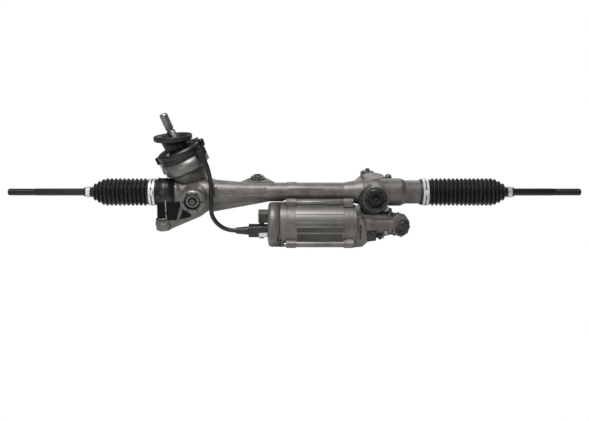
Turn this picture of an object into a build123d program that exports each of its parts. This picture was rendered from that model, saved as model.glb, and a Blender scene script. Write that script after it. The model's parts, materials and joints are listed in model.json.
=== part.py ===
from build123d import *
from math import acos, atan, cos, degrees, pi, radians, sin, sqrt, tan
import os

os.makedirs("parts", exist_ok=True)

# A dual-pinion electric power steering gear. The part's origin is the lower seat of the left
# mounting bore; +X runs along the rack to the right, +Z up along the mounting bolts, -Y forward.
# Stations along the rack are measured from the rack's own centre, which lies at RACK_CENTRE.

# ---- driving dimensions, millimetres and degrees -------------------------------------------
RACK_CENTRE = (276.0, 20.0, 75.0)
RACK_R = 13.5
RACK_HALF = 350.0
STROKE = 73.0
STOP_GAP = 0.3

FIT = 0.05          # radial running clearance of a shaft in its bearing
PLAY = 0.3          # clearance of curved faces that only pass each other
SKIN = 1.0          # clearance of a part inside a cast cavity

GEAR_MODULE = 2.1
PRESSURE = 25.0
BACKLASH = 0.22
RACK_PITCH_LINE = 9.5
RACK_DEDENDUM = 2.3
ROOT_GAP = 0.4

STEER_X = -207.5
STEER_TILT = 21.0
STEER_TEETH = 8
STEER_ADDENDUM = 1.68
STEER_TIP = 1.95
STEER_FACE = 14.0

ASSIST_X = 167.0
ASSIST_HELIX = 20.0
ASSIST_TEETH = 7
ASSIST_ADDENDUM = 1.4
ASSIST_TIP = 1.85
ASSIST_FACE = 14.0

WORM_MODULE = 2.0
WORM_R = 12.0
WORM_ADDENDUM = 1.7
WORM_DEDENDUM = 2.1
WORM_PRESSURE = 20.0
WHEEL_TEETH = 35
WHEEL_WIDTH = 16.0
WORM_HALF = 13.0
WORM_Z = -61.5
WORM_STEPS = 26

TUBE_R = 20.0
BORE_R = 14.8
NECK_R = 24.5
WELL_R = 20.8
CASE_R = 29.0
NECK_END = (-308.0, 284.0)

MOUNT_R = 6.25
SLEEVE_R = 9.0
EAR_R = 16.0
EAR_H = 22.0
CENTRE_MOUNT = (-79.0, 38.0, -20.0, 21.0)
RIGHT_MOUNT = (158.0, 58.0, -16.0, 24.0)

MOTOR_R = 46.5
MOTOR_WALL = 4.0
MOTOR_X = (3.0, 101.0)
FLANGE_R = 44.0
FLANGE_X = 121.0
CONTROL_R = 47.0
CONTROL_X = (-55.0, -29.0)
CONTROL_WALL = 3.5

BALL_X = RACK_HALF + 32.0
BALL_R = 13.4
RACE_WALL = 2.0
SOCKET_R = 18.5
ROD_R = 7.5
THREAD_R = 7.0
THREAD_LENGTH = 55.0
ROD_LENGTH = 220.0

BOOT_CREST = 29.0
BOOT_VALLEY = 23.0
BOOT_PITCH = 9.0
BOOT_WALL = 2.5
BAND_W = 12.0
BAND_T = 1.4
BOOT_END = (-BALL_X - 60.0, BALL_X + 79.0)

TOWER_R = 37.0
SENSOR_R = 46.0
SENSOR_L = (62.0, 88.0)
COVER_TOP = SENSOR_L[1] + 10.0
SHAFT_R = 9.0
SPLINE_R = 8.0
SHAFT_TOP = 175.0
SPLINE_LENGTH = 34.0
STOP_ANGLE = 4.5
TORSION_R = 3.0

CABLE_R = 4.5
X, Y, Z = Vector(1, 0, 0), Vector(0, 1, 0), Vector(0, 0, 1)


# ---- helpers --------------------------------------------------------------------------------
def at(x, y, z):
    """A point given from the rack's centre, in the part's frame."""
    return Vector(*RACK_CENTRE) + Vector(x, y, z)


def turning_line(origin, along, radial):
    """A plane whose Y runs along an axis of turning and whose X runs out from it."""
    return Plane(origin=origin, x_dir=radial, z_dir=Vector(radial).cross(Vector(along)))


def turned(line, outline, mode=Mode.ADD):
    """Turn an outline of (radius, station) points about a turning line."""
    with BuildSketch(line) as section:
        with BuildLine():
            Polyline(*outline, close=True)
        make_face()
    revolve(section.sketch, axis=Axis(line.origin, line.y_dir), mode=mode)


def tube(line, inner, outer, low, high, mode=Mode.ADD):
    """A plain ring about a turning line, or a disc where inner is zero."""
    turned(line, [(inner, low), (outer, low), (outer, high), (inner, high)], mode)


def prism(plane, points, amount, both=False, mode=Mode.ADD):
    """Extrude a straight-sided outline drawn on a plane."""
    with BuildSketch(plane) as section:
        with BuildLine():
            Polyline(*points, close=True)
        make_face()
    extrude(section.sketch, amount=amount, both=both, mode=mode)


def across(plane_origin, normal, x_dir):
    """A plane square to an axis."""
    return Plane(origin=plane_origin, x_dir=x_dir, z_dir=normal)


def involute(angle):
    """The involute function of a pressure angle in radians."""
    return tan(angle) - angle


class Gear:
    """Sizes of a helical pinion that meshes with the rack."""

    def __init__(self, teeth, helix, addendum, tip):
        self.teeth = teeth
        self.helix = radians(helix)
        self.pitch_r = teeth * GEAR_MODULE / cos(self.helix) / 2
        self.angle = atan(tan(radians(PRESSURE)) / cos(self.helix))
        self.base_r = self.pitch_r * cos(self.angle)
        self.tip_r = self.pitch_r + tip
        self.root_r = self.pitch_r - addendum - ROOT_GAP
        self.twist = tan(self.helix) / self.pitch_r
        self.centre_y = RACK_PITCH_LINE + self.pitch_r

    def half_angle(self, radius):
        """Half the angle that a tooth takes at a radius."""
        thickness = pi * self.pitch_r / self.teeth - BACKLASH
        there = acos(min(1.0, self.base_r / radius))
        return thickness / (2 * self.pitch_r) + involute(self.angle) - involute(there)


def polar(radius, angle):
    """A point of a section, from its radius and angle in radians."""
    return (radius * cos(angle), radius * sin(angle))


def pinion_section(gear):
    """The outline of a pinion's teeth, as (radius, angle) points square to its axis."""
    start_r = max(gear.base_r, gear.root_r)
    steps = [start_r + (gear.tip_r - start_r) * part for part in (0, 0.3, 0.65, 1)]
    foot = gear.half_angle(start_r)
    outline = []
    for number in range(gear.teeth):
        middle = 2 * pi * number / gear.teeth
        outline.append((gear.root_r, middle - foot))
        outline += [(r, middle - gear.half_angle(r)) for r in steps]
        outline += [(r, middle + gear.half_angle(r)) for r in reversed(steps)]
        outline.append((gear.root_r, middle + foot))
    return outline


def twisted(plane, outline, length, start, turn, steps):
    """Loft straight through copies of an outline that turn about the plane's axis as they rise."""
    layers = []
    for step in range(steps + 1):
        share = step / steps
        with BuildSketch(plane.offset(length * share)) as layer:
            with BuildLine():
                Polyline(*[polar(r, a + start + turn * share) for r, a in outline], close=True)
            make_face()
        layers.append(layer.sketch)
    loft(layers, ruled=True, clean=False)


STEER = Gear(STEER_TEETH, STEER_TILT, STEER_ADDENDUM, STEER_TIP)
ASSIST = Gear(ASSIST_TEETH, ASSIST_HELIX, ASSIST_ADDENDUM, ASSIST_TIP)
WHEEL_R = WORM_MODULE * WHEEL_TEETH / 2
WHEEL_TIP = WHEEL_R + WORM_ADDENDUM
WORM_PITCH = pi * WORM_MODULE
WORM_LEAD = 2 * WORM_PITCH
WORM_TIP = WORM_R + WORM_ADDENDUM
WORM_Y = ASSIST.centre_y - WHEEL_R - WORM_R
TILT = radians(STEER_TILT)
UP_TOWER = Vector(-sin(TILT), 0, cos(TILT))
END_X = BALL_X + ROD_LENGTH

RACK_LINE = turning_line(at(0, 0, 0), X, Z)
TOWER_LINE = turning_line(at(STEER_X, STEER.centre_y, 0), UP_TOWER, Y)
ASSIST_LINE = turning_line(at(ASSIST_X, ASSIST.centre_y, 0), Z, X)
WORM_LINE = turning_line(at(0, WORM_Y, WORM_Z), X, Z)
STEER_YOKE_LINE = turning_line(at(STEER_X, 0, 0), -Y, X)
ASSIST_YOKE_LINE = turning_line(at(ASSIST_X, 0, 0), -Y, X)
PRELOAD_X = 219.0
PRELOAD_LINE = turning_line(at(PRELOAD_X, WORM_Y, WORM_Z), -Y, X)


def tower_point(level):
    """The point of the steering shaft's axis at a level above the rack."""
    return TOWER_LINE.origin + UP_TOWER * level


# ---- rack bar: a round steel bar with two toothed flats ---------------------------------------
def tooth_spaces(centre, pitch, flank, slope, addendum):
    """Cut the rack's flat and its tooth spaces about a station, along the teeth's slope."""
    reach = RACK_R + 1
    count = int((STROKE + 1.2 * RACK_R) / pitch)
    top = RACK_PITCH_LINE + addendum
    bottom = RACK_PITCH_LINE - RACK_DEDENDUM
    wide = pitch / 4 + addendum * tan(flank)
    narrow = pitch / 4 - RACK_DEDENDUM * tan(flank)
    outline = []
    for number in range(-count, count + 1):
        middle = number * pitch
        outline += [(middle - wide, top), (middle - narrow, bottom)]
        outline += [(middle + narrow, bottom), (middle + wide, top)]
    ends = [(outline[-1][0] + pitch / 2, top), (outline[-1][0] + pitch / 2, reach)]
    ends += [(outline[0][0] - pitch / 2, reach), (outline[0][0] - pitch / 2, top)]
    plane = Plane(origin=at(centre - reach * tan(slope), 0, -reach), x_dir=X, z_dir=Z)
    with BuildSketch(plane) as comb:
        with BuildLine():
            Polyline(*(outline + ends), close=True)
        make_face()
    extrude(comb.sketch, amount=2 * reach / cos(slope), dir=(sin(slope), 0, cos(slope)),
            mode=Mode.SUBTRACT)


STUD_R = 8.0
STUD_L = 22.0
with BuildPart() as rack_bar:
    tube(RACK_LINE, 0, RACK_R, -RACK_HALF, RACK_HALF)
    tooth_spaces(STEER_X, pi * GEAR_MODULE, radians(PRESSURE), 0, STEER_ADDENDUM)
    tooth_spaces(ASSIST_X, pi * GEAR_MODULE / cos(ASSIST.helix), ASSIST.angle, ASSIST.helix,
                 ASSIST_ADDENDUM)
    for side in (-1, 1):
        tube(RACK_LINE, 0, STUD_R, side * RACK_HALF, side * (RACK_HALF - STUD_L), Mode.SUBTRACT)
rack_bar.part.label = "rack_bar"
export_step(rack_bar.part, "parts/rack_bar.step")

# ---- inner ball joints and tie rods ------------------------------------------------------------
RACE_IN = BALL_R + PLAY
RACE_OUT = RACE_IN + RACE_WALL
CAVITY_R = RACE_OUT + PLAY
SOCKET_LIP = 9.0
SOCKET_END = 13.0
RACE_OPEN = 7.5
BALL_NECK_R = 6.0
for side, name in ((-1, "left"), (1, "right")):
    centre = at(side * BALL_X, 0, 0)
    lip_r = sqrt(CAVITY_R ** 2 - SOCKET_LIP ** 2)
    with BuildPart() as ball_socket:
        socket = [(0, RACK_HALF - STUD_L + 1), (STUD_R, RACK_HALF - STUD_L + 1), (STUD_R, RACK_HALF),
                  (SOCKET_R, RACK_HALF), (SOCKET_R, BALL_X + 6), (SOCKET_R - 2, BALL_X + SOCKET_END),
                  (0, BALL_X + SOCKET_END)]
        turned(RACK_LINE, [(r, side * s) for r, s in socket])
        with Locations(centre):
            Sphere(CAVITY_R, mode=Mode.SUBTRACT)
        mouth = [(0, BALL_X), (lip_r - 0.1, BALL_X + SOCKET_LIP), (SOCKET_R - 2.5, BALL_X + SOCKET_END + 1),
                 (0, BALL_X + SOCKET_END + 1)]
        turned(RACK_LINE, [(r, side * s) for r, s in mouth], Mode.SUBTRACT)
        flats = Plane(origin=at(side * (RACK_HALF + 6), 0, 0), x_dir=Y, z_dir=X)
        for face_side in (-1, 1):
            prism(flats, [(-SOCKET_R, face_side * 16.5), (SOCKET_R, face_side * 16.5),
                          (SOCKET_R, face_side * 20), (-SOCKET_R, face_side * 20)], 5,
                  both=True, mode=Mode.SUBTRACT)
    ball_socket.part.label = f"ball_socket_{name}"
    export_step(ball_socket.part, f"parts/ball_socket_{name}.step")

    with BuildPart() as ball_race:
        with BuildSketch(RACK_LINE) as shell:
            with Locations((0, side * BALL_X)):
                Circle(RACE_OUT)
                Circle(RACE_IN, mode=Mode.SUBTRACT)
            with Locations((-RACE_OUT, side * BALL_X)):
                Rectangle(2 * RACE_OUT, 3 * RACE_OUT, mode=Mode.SUBTRACT)
            with Locations((RACE_OUT, side * (BALL_X + RACE_OPEN + RACE_OUT))):
                Rectangle(3 * RACE_OUT, 2 * RACE_OUT, mode=Mode.SUBTRACT)
        revolve(shell.sketch, axis=Axis(RACK_LINE.origin, X))
    ball_race.part.label = f"ball_race_{name}"
    export_step(ball_race.part, f"parts/ball_race_{name}.step")

    with BuildPart() as tie_rod:
        rod = [(0, BALL_X), (BALL_NECK_R, BALL_X), (BALL_NECK_R, BALL_X + 24), (ROD_R, BALL_X + 34),
               (ROD_R, END_X - THREAD_LENGTH - 2), (THREAD_R, END_X - THREAD_LENGTH - 1),
               (THREAD_R, END_X - 1), (THREAD_R - 1, END_X), (0, END_X)]
        turned(RACK_LINE, [(r, side * s) for r, s in rod])
        with Locations(centre):
            Sphere(BALL_R)
    tie_rod.part.label = f"tie_rod_{name}"
    export_step(tie_rod.part, f"parts/tie_rod_{name}.step")

# ---- bellows and their clamps ------------------------------------------------------------------
CUFF_OUT = 27.0
CUFF_LENGTH = 21.0
SMALL_IN = ROD_R + PLAY
SMALL_OUT = SMALL_IN + 2.2
SMALL_W = 9.0
SMALL_AT = 9.0
for side, name, neck, far in ((-1, "left", -NECK_END[0], -BOOT_END[0]),
                              (1, "right", NECK_END[1], BOOT_END[1])):
    first = neck + 1.5
    last = far - 18
    folds = round((last - first) / BOOT_PITCH)
    fold = (last - first) / folds
    taper_from = last - 3.2 * BOOT_PITCH
    outline = [(NECK_R, neck - CUFF_LENGTH), (CUFF_OUT, neck - CUFF_LENGTH), (CUFF_OUT, neck),
               (BOOT_VALLEY, first)]
    for number in range(folds):
        start = first + number * fold
        for crest, station in ((True, start + fold / 2), (False, start + fold)):
            share = max(0.0, (station - taper_from) / (last - taper_from))
            drop = (BOOT_CREST - 15) * share ** 1.4 if crest else (BOOT_VALLEY - SMALL_OUT - 0.5) * share
            outline.append(((BOOT_CREST if crest else BOOT_VALLEY) - drop, station))
    outline += [(SMALL_OUT, last + 1), (SMALL_OUT, far), (SMALL_IN, far), (SMALL_IN, last - 4),
                (BOOT_VALLEY - BOOT_WALL, taper_from - fold), (BOOT_VALLEY - BOOT_WALL, neck + PLAY),
                (NECK_R, neck + PLAY)]
    with BuildPart() as bellows:
        turned(RACK_LINE, [(r, side * s) for r, s in outline])
    bellows.part.label = f"bellows_{name}"
    export_step(bellows.part, f"parts/bellows_{name}.step")

    with BuildPart() as small_clamp:
        place = far - SMALL_AT
        tube(RACK_LINE, SMALL_OUT + PLAY, SMALL_OUT + PLAY + 1.2, side * (place - SMALL_W / 2),
             side * (place + SMALL_W / 2))
        ear = Plane(origin=at(side * place, 0, 0), x_dir=Y, z_dir=X)
        lug = SMALL_OUT + PLAY + 0.8
        prism(ear, [(-lug, -2), (-lug - 3, -2), (-lug - 3, 2), (-lug, 2)], SMALL_W / 2 - 1, both=True)
    small_clamp.part.label = f"small_clamp_{name}"
    export_step(small_clamp.part, f"parts/small_clamp_{name}.step")

with BuildPart() as large_clamps:
    rim = CUFF_OUT + BAND_T
    seat = (CUFF_OUT + rim) / 2
    for side, neck in ((-1, -NECK_END[0]), (1, NECK_END[1])):
        band = neck - CUFF_LENGTH / 2
        ring = [(CUFF_OUT, band - BAND_W / 2), (rim, band - BAND_W / 2), (rim, band - 1.2),
                (rim - 0.7, band - 0.8), (rim - 0.7, band + 0.8), (rim, band + 1.2),
                (rim, band + BAND_W / 2), (CUFF_OUT, band + BAND_W / 2)]
        turned(RACK_LINE, [(r, side * s) for r, s in ring])
        ear = Plane(origin=at(side * band, 0, 0), x_dir=Y, z_dir=X)
        prism(ear, [(-sqrt(seat ** 2 - 49), 7), (-rim - 4.5, 6.5), (-rim - 4.5, 12.5),
                    (-sqrt(seat ** 2 - 169), 13)], BAND_W / 2 - 1.5, both=True)
large_clamps.part.label = "large_clamps"
export_step(large_clamps.part, "parts/large_clamps.step")

# ---- steering pinion with its torsion bar --------------------------------------------------------
LOWER_L = (-30.0, -18.0)
LOWER_JOURNAL = 6.5
LOWER_CUP = 10.5
UPPER_L = (20.0, 32.0)
UPPER_CUP = 20.0
PINION_TOP = 58.0
DOG_L = 52.0
DOG_HALF = 4.0
TORSION_L = (36.0, 130.0)
lag = radians(STOP_ANGLE + 0.4)
DOG_SLOT = DOG_HALF * cos(lag) + SHAFT_R * sin(lag) + FIT
with BuildPart() as steering_pinion:
    twisted(across(tower_point(-STEER_FACE), UP_TOWER, -Y), pinion_section(STEER), 2 * STEER_FACE,
            -STEER.twist * STEER_FACE, 2 * STEER.twist * STEER_FACE, 7)
    shaft = [(0, LOWER_L[0] - 2), (LOWER_JOURNAL - 0.8, LOWER_L[0] - 2), (LOWER_JOURNAL, LOWER_L[0] - 1),
             (LOWER_JOURNAL, -STEER_FACE), (STEER.root_r - 0.5, -STEER_FACE),
             (STEER.root_r - 0.5, STEER_FACE), (SHAFT_R, UPPER_L[0] - 3), (SHAFT_R, PINION_TOP),
             (0, PINION_TOP)]
    turned(TOWER_LINE, shaft)
    tube(TOWER_LINE, 0, TORSION_R + FIT, TORSION_L[0], PINION_TOP, Mode.SUBTRACT)
    slot = across(tower_point(DOG_L), UP_TOWER, Y)
    prism(slot, [(-SHAFT_R - 1, -DOG_SLOT), (SHAFT_R + 1, -DOG_SLOT), (SHAFT_R + 1, DOG_SLOT),
                 (-SHAFT_R - 1, DOG_SLOT)], PINION_TOP - DOG_L + 1, mode=Mode.SUBTRACT)
steering_pinion.part.label = "steering_pinion"
export_step(steering_pinion.part, "parts/steering_pinion.step")

SEAT_L = TORSION_L[1] - 12
with BuildPart() as torsion_bar:
    bar = [(0, TORSION_L[0]), (TORSION_R, TORSION_L[0]), (TORSION_R, DOG_L - 4), (TORSION_R - 0.6, DOG_L),
           (TORSION_R - 0.6, SEAT_L - 4), (TORSION_R, SEAT_L), (TORSION_R, TORSION_L[1]), (0, TORSION_L[1])]
    turned(TOWER_LINE, bar)
torsion_bar.part.label = "torsion_bar"
export_step(torsion_bar.part, "parts/torsion_bar.step")

DOG_GAP = 0.5
with BuildPart() as input_shaft:
    low = DOG_L + DOG_GAP
    bore = TORSION_R + PLAY
    barrel = [(bore, low), (SHAFT_R, low), (SHAFT_R, SHAFT_TOP - SPLINE_LENGTH - 4),
              (SPLINE_R - 1.2, SHAFT_TOP - SPLINE_LENGTH - 3), (SPLINE_R - 1.2, SHAFT_TOP - SPLINE_LENGTH),
              (SPLINE_R, SHAFT_TOP - SPLINE_LENGTH), (SPLINE_R, SHAFT_TOP - 1.5),
              (SPLINE_R - 1.2, SHAFT_TOP),
              (2.5, SHAFT_TOP), (2.5, SHAFT_TOP - 6), (0, SHAFT_TOP - 6), (0, TORSION_L[1] + 1),
              (TORSION_R + FIT, TORSION_L[1] + 1), (TORSION_R + FIT, SEAT_L), (bore, SEAT_L)]
    turned(TOWER_LINE, barrel)
    dog = across(tower_point(low - 1), UP_TOWER, Y)
    for cheek in (-1, 1):
        prism(dog, [(-SHAFT_R - 1, cheek * DOG_HALF), (SHAFT_R + 1, cheek * DOG_HALF),
                    (SHAFT_R + 1, cheek * (SHAFT_R + 1)), (-SHAFT_R - 1, cheek * (SHAFT_R + 1))],
              PINION_TOP + PLAY - low + 1, mode=Mode.SUBTRACT)
input_shaft.part.label = "input_shaft"
export_step(input_shaft.part, "parts/input_shaft.step")

ROTOR_L = (SENSOR_L[0] + 5.0, SENSOR_L[1] - 3.0)
DISC_L = (SENSOR_L[0] + 6.0, SENSOR_L[0] + 9.0)
with BuildPart() as sensor_rotor:
    hub = [(SHAFT_R, ROTOR_L[0]), (SHAFT_R + 6, ROTOR_L[0]), (SHAFT_R + 6, DISC_L[0]),
           (30, DISC_L[0]), (30, DISC_L[1]), (SHAFT_R + 6, DISC_L[1]),
           (SHAFT_R + 6, ROTOR_L[1]), (SHAFT_R, ROTOR_L[1])]
    turned(TOWER_LINE, hub)
sensor_rotor.part.label = "sensor_rotor"
export_step(sensor_rotor.part, "parts/sensor_rotor.step")


# ---- bearings ---------------------------------------------------------------------------------------
def bearing(line, inner, outer, low, high):
    """A shielded ball bearing: a ring with a shallow groove in each face."""
    mid_in, mid_out = inner + 0.28 * (outer - inner), inner + 0.72 * (outer - inner)
    turned(line, [(inner, low), (mid_in, low), (mid_in, low + 0.8), (mid_out, low + 0.8), (mid_out, low),
                  (outer, low), (outer, high), (mid_out, high), (mid_out, high - 0.8),
                  (mid_in, high - 0.8), (mid_in, high), (inner, high)])


ASSIST_SHAFT = 9.0
ASSIST_UPPER = (17.0, 27.0)
ASSIST_UPPER_JOURNAL = 6.0
ASSIST_UPPER_CUP = 9.5
ASSIST_LOWER = (-36.0, -23.0)
ASSIST_LOWER_CUP = 17.5
WORM_SHAFT = 7.5
WORM_NEAR = (131.0, 140.0)
WORM_NEAR_CUP = 16.0
WORM_FAR = (PRELOAD_X - 4.0, PRELOAD_X + 4.0)
WORM_FAR_SHAFT = 6.0
WORM_FAR_CUP = 14.0
MOTOR_SHAFT = 6.0
MOTOR_REAR = (8.0, 16.0)
MOTOR_FRONT = (104.0, 112.0)
MOTOR_CUP = 13.0
INPUT_L = (SENSOR_L[1] + 2.0, SENSOR_L[1] + 10.0)
INPUT_CUP = 13.0
SEAL_L = (INPUT_L[1] + 6.0, INPUT_L[1] + 12.0)
SEAL_CUP = 14.0
BEARINGS = {
    "pinion_lower_bearing": (TOWER_LINE, LOWER_JOURNAL + FIT, LOWER_CUP, LOWER_L),
    "pinion_upper_bearing": (TOWER_LINE, SHAFT_R + FIT, UPPER_CUP, UPPER_L),
    "input_bearing": (TOWER_LINE, SHAFT_R + FIT, INPUT_CUP, INPUT_L),
    "assist_upper_bearing": (ASSIST_LINE, ASSIST_UPPER_JOURNAL + FIT, ASSIST_UPPER_CUP, ASSIST_UPPER),
    "assist_lower_bearing": (ASSIST_LINE, ASSIST_SHAFT + FIT, ASSIST_LOWER_CUP, ASSIST_LOWER),
    "worm_near_bearing": (WORM_LINE, WORM_SHAFT + FIT, WORM_NEAR_CUP, WORM_NEAR),
    "worm_far_bearing": (WORM_LINE, WORM_FAR_SHAFT + FIT, WORM_FAR_CUP, WORM_FAR),
}
for name, (line, inner, outer, (low, high)) in BEARINGS.items():
    with BuildPart() as ring:
        bearing(line, inner, outer, low, high)
    ring.part.label = name
    export_step(ring.part, f"parts/{name}.step")

with BuildPart() as motor_bearings:
    for low, high in (MOTOR_REAR, MOTOR_FRONT):
        bearing(WORM_LINE, MOTOR_SHAFT + FIT, MOTOR_CUP, low, high)
motor_bearings.part.label = "motor_bearings"
export_step(motor_bearings.part, "parts/motor_bearings.step")

with BuildPart() as input_seal:
    lip = [(SHAFT_R + FIT, SEAL_L[0] + 2), (SHAFT_R + FIT, SEAL_L[0] + 3), (SHAFT_R + 2, SEAL_L[1]),
           (SEAL_CUP, SEAL_L[1]), (SEAL_CUP, SEAL_L[0]), (SHAFT_R + 3.5, SEAL_L[0])]
    turned(TOWER_LINE, lip)
input_seal.part.label = "input_seal"
export_step(input_seal.part, "parts/input_seal.step")

# ---- rack bushes at the two ends of the bore -----------------------------------------------------------
STOP_X = RACK_HALF - STROKE - STOP_GAP
BUSH_OUT = 17.0
BUSH_L = 12.0
with BuildPart() as rack_bushes:
    for side in (-1, 1):
        tube(RACK_LINE, RACK_R + FIT, BUSH_OUT, side * (STOP_X - BUSH_L - 1), side * (STOP_X - 1))
rack_bushes.part.label = "rack_bushes"
export_step(rack_bushes.part, "parts/rack_bushes.step")

# ---- yokes that press the rack against its pinions -------------------------------------------------------
YOKE_R = 17.0
YOKE_L = (9.0, 33.0)
YOKE_FIT = 0.08
PLUG_R = 20.0
PLUG_HEAD_R = 24.0
SPRING_L = 4.0
for line, name, boss, head in ((STEER_YOKE_LINE, "steering", 50.0, 62.0),
                               (ASSIST_YOKE_LINE, "assist", 44.0, 51.0)):
    with BuildPart() as yoke:
        tube(line, 0, YOKE_R - YOKE_FIT, YOKE_L[0], YOKE_L[1])
        tube(RACK_LINE, 0, RACK_R + FIT, -RACK_HALF, RACK_HALF, Mode.SUBTRACT)
        tube(line, 0, 11, YOKE_L[1] - 6, YOKE_L[1], Mode.SUBTRACT)
    yoke.part.label = f"{name}_yoke"
    export_step(yoke.part, f"parts/{name}_yoke.step")

    with BuildPart() as plug:
        shoulder = YOKE_L[1] + SPRING_L
        profile = [(0, shoulder), (PLUG_R, shoulder), (PLUG_R, boss), (PLUG_HEAD_R, boss),
                   (PLUG_HEAD_R, head - 3), (PLUG_HEAD_R - 2, head - 1), (16, head - 1), (15, head - 5),
                   (9, head - 5), (8, head), (3, head), (3, head - 4), (0, head - 4)]
        turned(line, profile)
        notch = Plane(line.origin + line.y_dir * (head - 5), x_dir=X, z_dir=line.y_dir)
        with BuildSketch(notch) as notches:
            with PolarLocations(20, 6):
                Rectangle(6, 4)
        extrude(notches.sketch, amount=6, mode=Mode.SUBTRACT)
    plug.part.label = f"{name}_yoke_plug"
    export_step(plug.part, f"parts/{name}_yoke_plug.step")

base = YOKE_L[1]
with BuildPart() as yoke_springs:
    for line in (STEER_YOKE_LINE, ASSIST_YOKE_LINE):
        turned(line, [(6, base + 2.2), (7, base + 2.8), (16, base + 1.0), (16, base), (15, base)])
        turned(line, [(6, base + 2.2), (6, base + 3.4), (15, base + SPRING_L), (16, base + SPRING_L),
                      (16, base + 3.2), (7, base + 2.2)])
yoke_springs.part.label = "yoke_springs"
export_step(yoke_springs.part, "parts/yoke_springs.step")

# ---- assist pinion, worm wheel, worm and coupling ---------------------------------------------
WHEEL_Z = (WORM_Z - WHEEL_WIDTH / 2, WORM_Z + WHEEL_WIDTH / 2)


def assist_point(level):
    """The point of the assist pinion's axis at a height above the rack."""
    return ASSIST_LINE.origin + Z * level


with BuildPart() as assist_pinion:
    twisted(across(assist_point(-ASSIST_FACE), Z, -Y), pinion_section(ASSIST), 2 * ASSIST_FACE,
            -ASSIST.twist * ASSIST_FACE, 2 * ASSIST.twist * ASSIST_FACE, 7)
    core = ASSIST.root_r - 0.3
    shaft = [(0, WHEEL_Z[0] - 2), (ASSIST_SHAFT, WHEEL_Z[0] - 2), (ASSIST_SHAFT, ASSIST_LOWER[1] + 2),
             (core, -ASSIST_FACE), (core, ASSIST_FACE), (ASSIST_UPPER_JOURNAL, ASSIST_UPPER[0] - 1),
             (ASSIST_UPPER_JOURNAL, ASSIST_UPPER[1] + 1), (0, ASSIST_UPPER[1] + 1)]
    turned(ASSIST_LINE, shaft)
assist_pinion.part.label = "assist_pinion"
export_step(assist_pinion.part, "parts/assist_pinion.step")

with BuildPart() as worm_wheel:
    slope = WORM_LEAD / (2 * pi * WORM_R)
    spread = slope / WHEEL_R * WHEEL_WIDTH
    root = WHEEL_R - WORM_DEDENDUM
    outline = []
    for number in range(WHEEL_TEETH):
        middle = 2 * pi * number / WHEEL_TEETH
        for radius, edge in ((root, -1), (WHEEL_TIP, -1), (WHEEL_TIP, 1), (root, 1)):
            half = WORM_PITCH / 4 - BACKLASH / 2 - (radius - WHEEL_R) * tan(radians(WORM_PRESSURE))
            outline.append((radius, middle + edge * half / radius))
    twisted(across(assist_point(WHEEL_Z[0]), Z, -Y), outline, WHEEL_WIDTH, -spread / 2, spread, 1)
    tube(ASSIST_LINE, 0, ASSIST_SHAFT, WHEEL_Z[0], WHEEL_Z[1], Mode.SUBTRACT)
    for low, high in ((WHEEL_Z[0], WHEEL_Z[0] + 4), (WHEEL_Z[1] - 4, WHEEL_Z[1])):
        tube(ASSIST_LINE, ASSIST_SHAFT + 5, root - 7, low, high, Mode.SUBTRACT)
worm_wheel.part.label = "worm_wheel"
export_step(worm_wheel.part, "parts/worm_wheel.step")

WORM_ENDS = (FLANGE_X + 0.5, PRELOAD_X + 5)
with BuildPart() as worm:
    start = ASSIST_X - WORM_HALF
    thread_root = WORM_R - WORM_DEDENDUM
    outline = []
    for number in range(2):
        middle = pi * number
        for radius, edge in ((thread_root, -1), (WORM_R, -1), (WORM_TIP, -1), (WORM_TIP, 0),
                             (WORM_TIP, 1), (WORM_R, 1), (thread_root, 1)):
            half = WORM_PITCH / 4 - BACKLASH / 2 - (radius - WORM_R) * tan(radians(WORM_PRESSURE))
            outline.append((radius, middle + edge * 2 * pi * half / WORM_LEAD))
        outline.append((thread_root, middle + pi / 2))
    first = -2 * pi * (WORM_HALF + WORM_PITCH / 2) / WORM_LEAD
    twisted(across(at(start, WORM_Y, WORM_Z), X, Y), outline, 2 * WORM_HALF, first,
            2 * pi * 2 * WORM_HALF / WORM_LEAD, WORM_STEPS)
    spindle = [(0, WORM_ENDS[0]), (WORM_SHAFT, WORM_ENDS[0]), (WORM_SHAFT, WORM_NEAR[1] + 1),
               (thread_root - 0.4, WORM_NEAR[1] + 3), (thread_root - 0.4, WORM_FAR[0] - 4),
               (WORM_FAR_SHAFT, WORM_FAR[0] - 1), (WORM_FAR_SHAFT, WORM_ENDS[1]), (0, WORM_ENDS[1])]
    turned(WORM_LINE, spindle)
worm.part.label = "worm"
export_step(worm.part, "parts/worm.step")

COUPLING_R = 12.5
COUPLING_X = (FLANGE_X - 7, FLANGE_X + 8)
ROTOR_X = (20.0, 86.0)
ROTOR_R = 25.0
with BuildPart() as rotor:
    shaft = [(0, -24), (MOTOR_SHAFT, -24), (MOTOR_SHAFT, ROTOR_X[0]), (ROTOR_R, ROTOR_X[0]),
             (ROTOR_R, ROTOR_X[1]), (MOTOR_SHAFT, ROTOR_X[1]), (MOTOR_SHAFT, FLANGE_X), (0, FLANGE_X)]
    turned(WORM_LINE, shaft)
rotor.part.label = "rotor"
export_step(rotor.part, "parts/rotor.step")

with BuildPart() as coupling:
    tube(WORM_LINE, 0, COUPLING_R, COUPLING_X[0], COUPLING_X[1])
    tube(WORM_LINE, 0, MOTOR_SHAFT, COUPLING_X[0], WORM_ENDS[0], Mode.SUBTRACT)
    tube(WORM_LINE, 0, WORM_SHAFT, WORM_ENDS[0], COUPLING_X[1], Mode.SUBTRACT)
    tube(WORM_LINE, COUPLING_R - 2, COUPLING_R + 1, FLANGE_X - 1, FLANGE_X + 2, Mode.SUBTRACT)
coupling.part.label = "coupling"
export_step(coupling.part, "parts/coupling.step")

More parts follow.
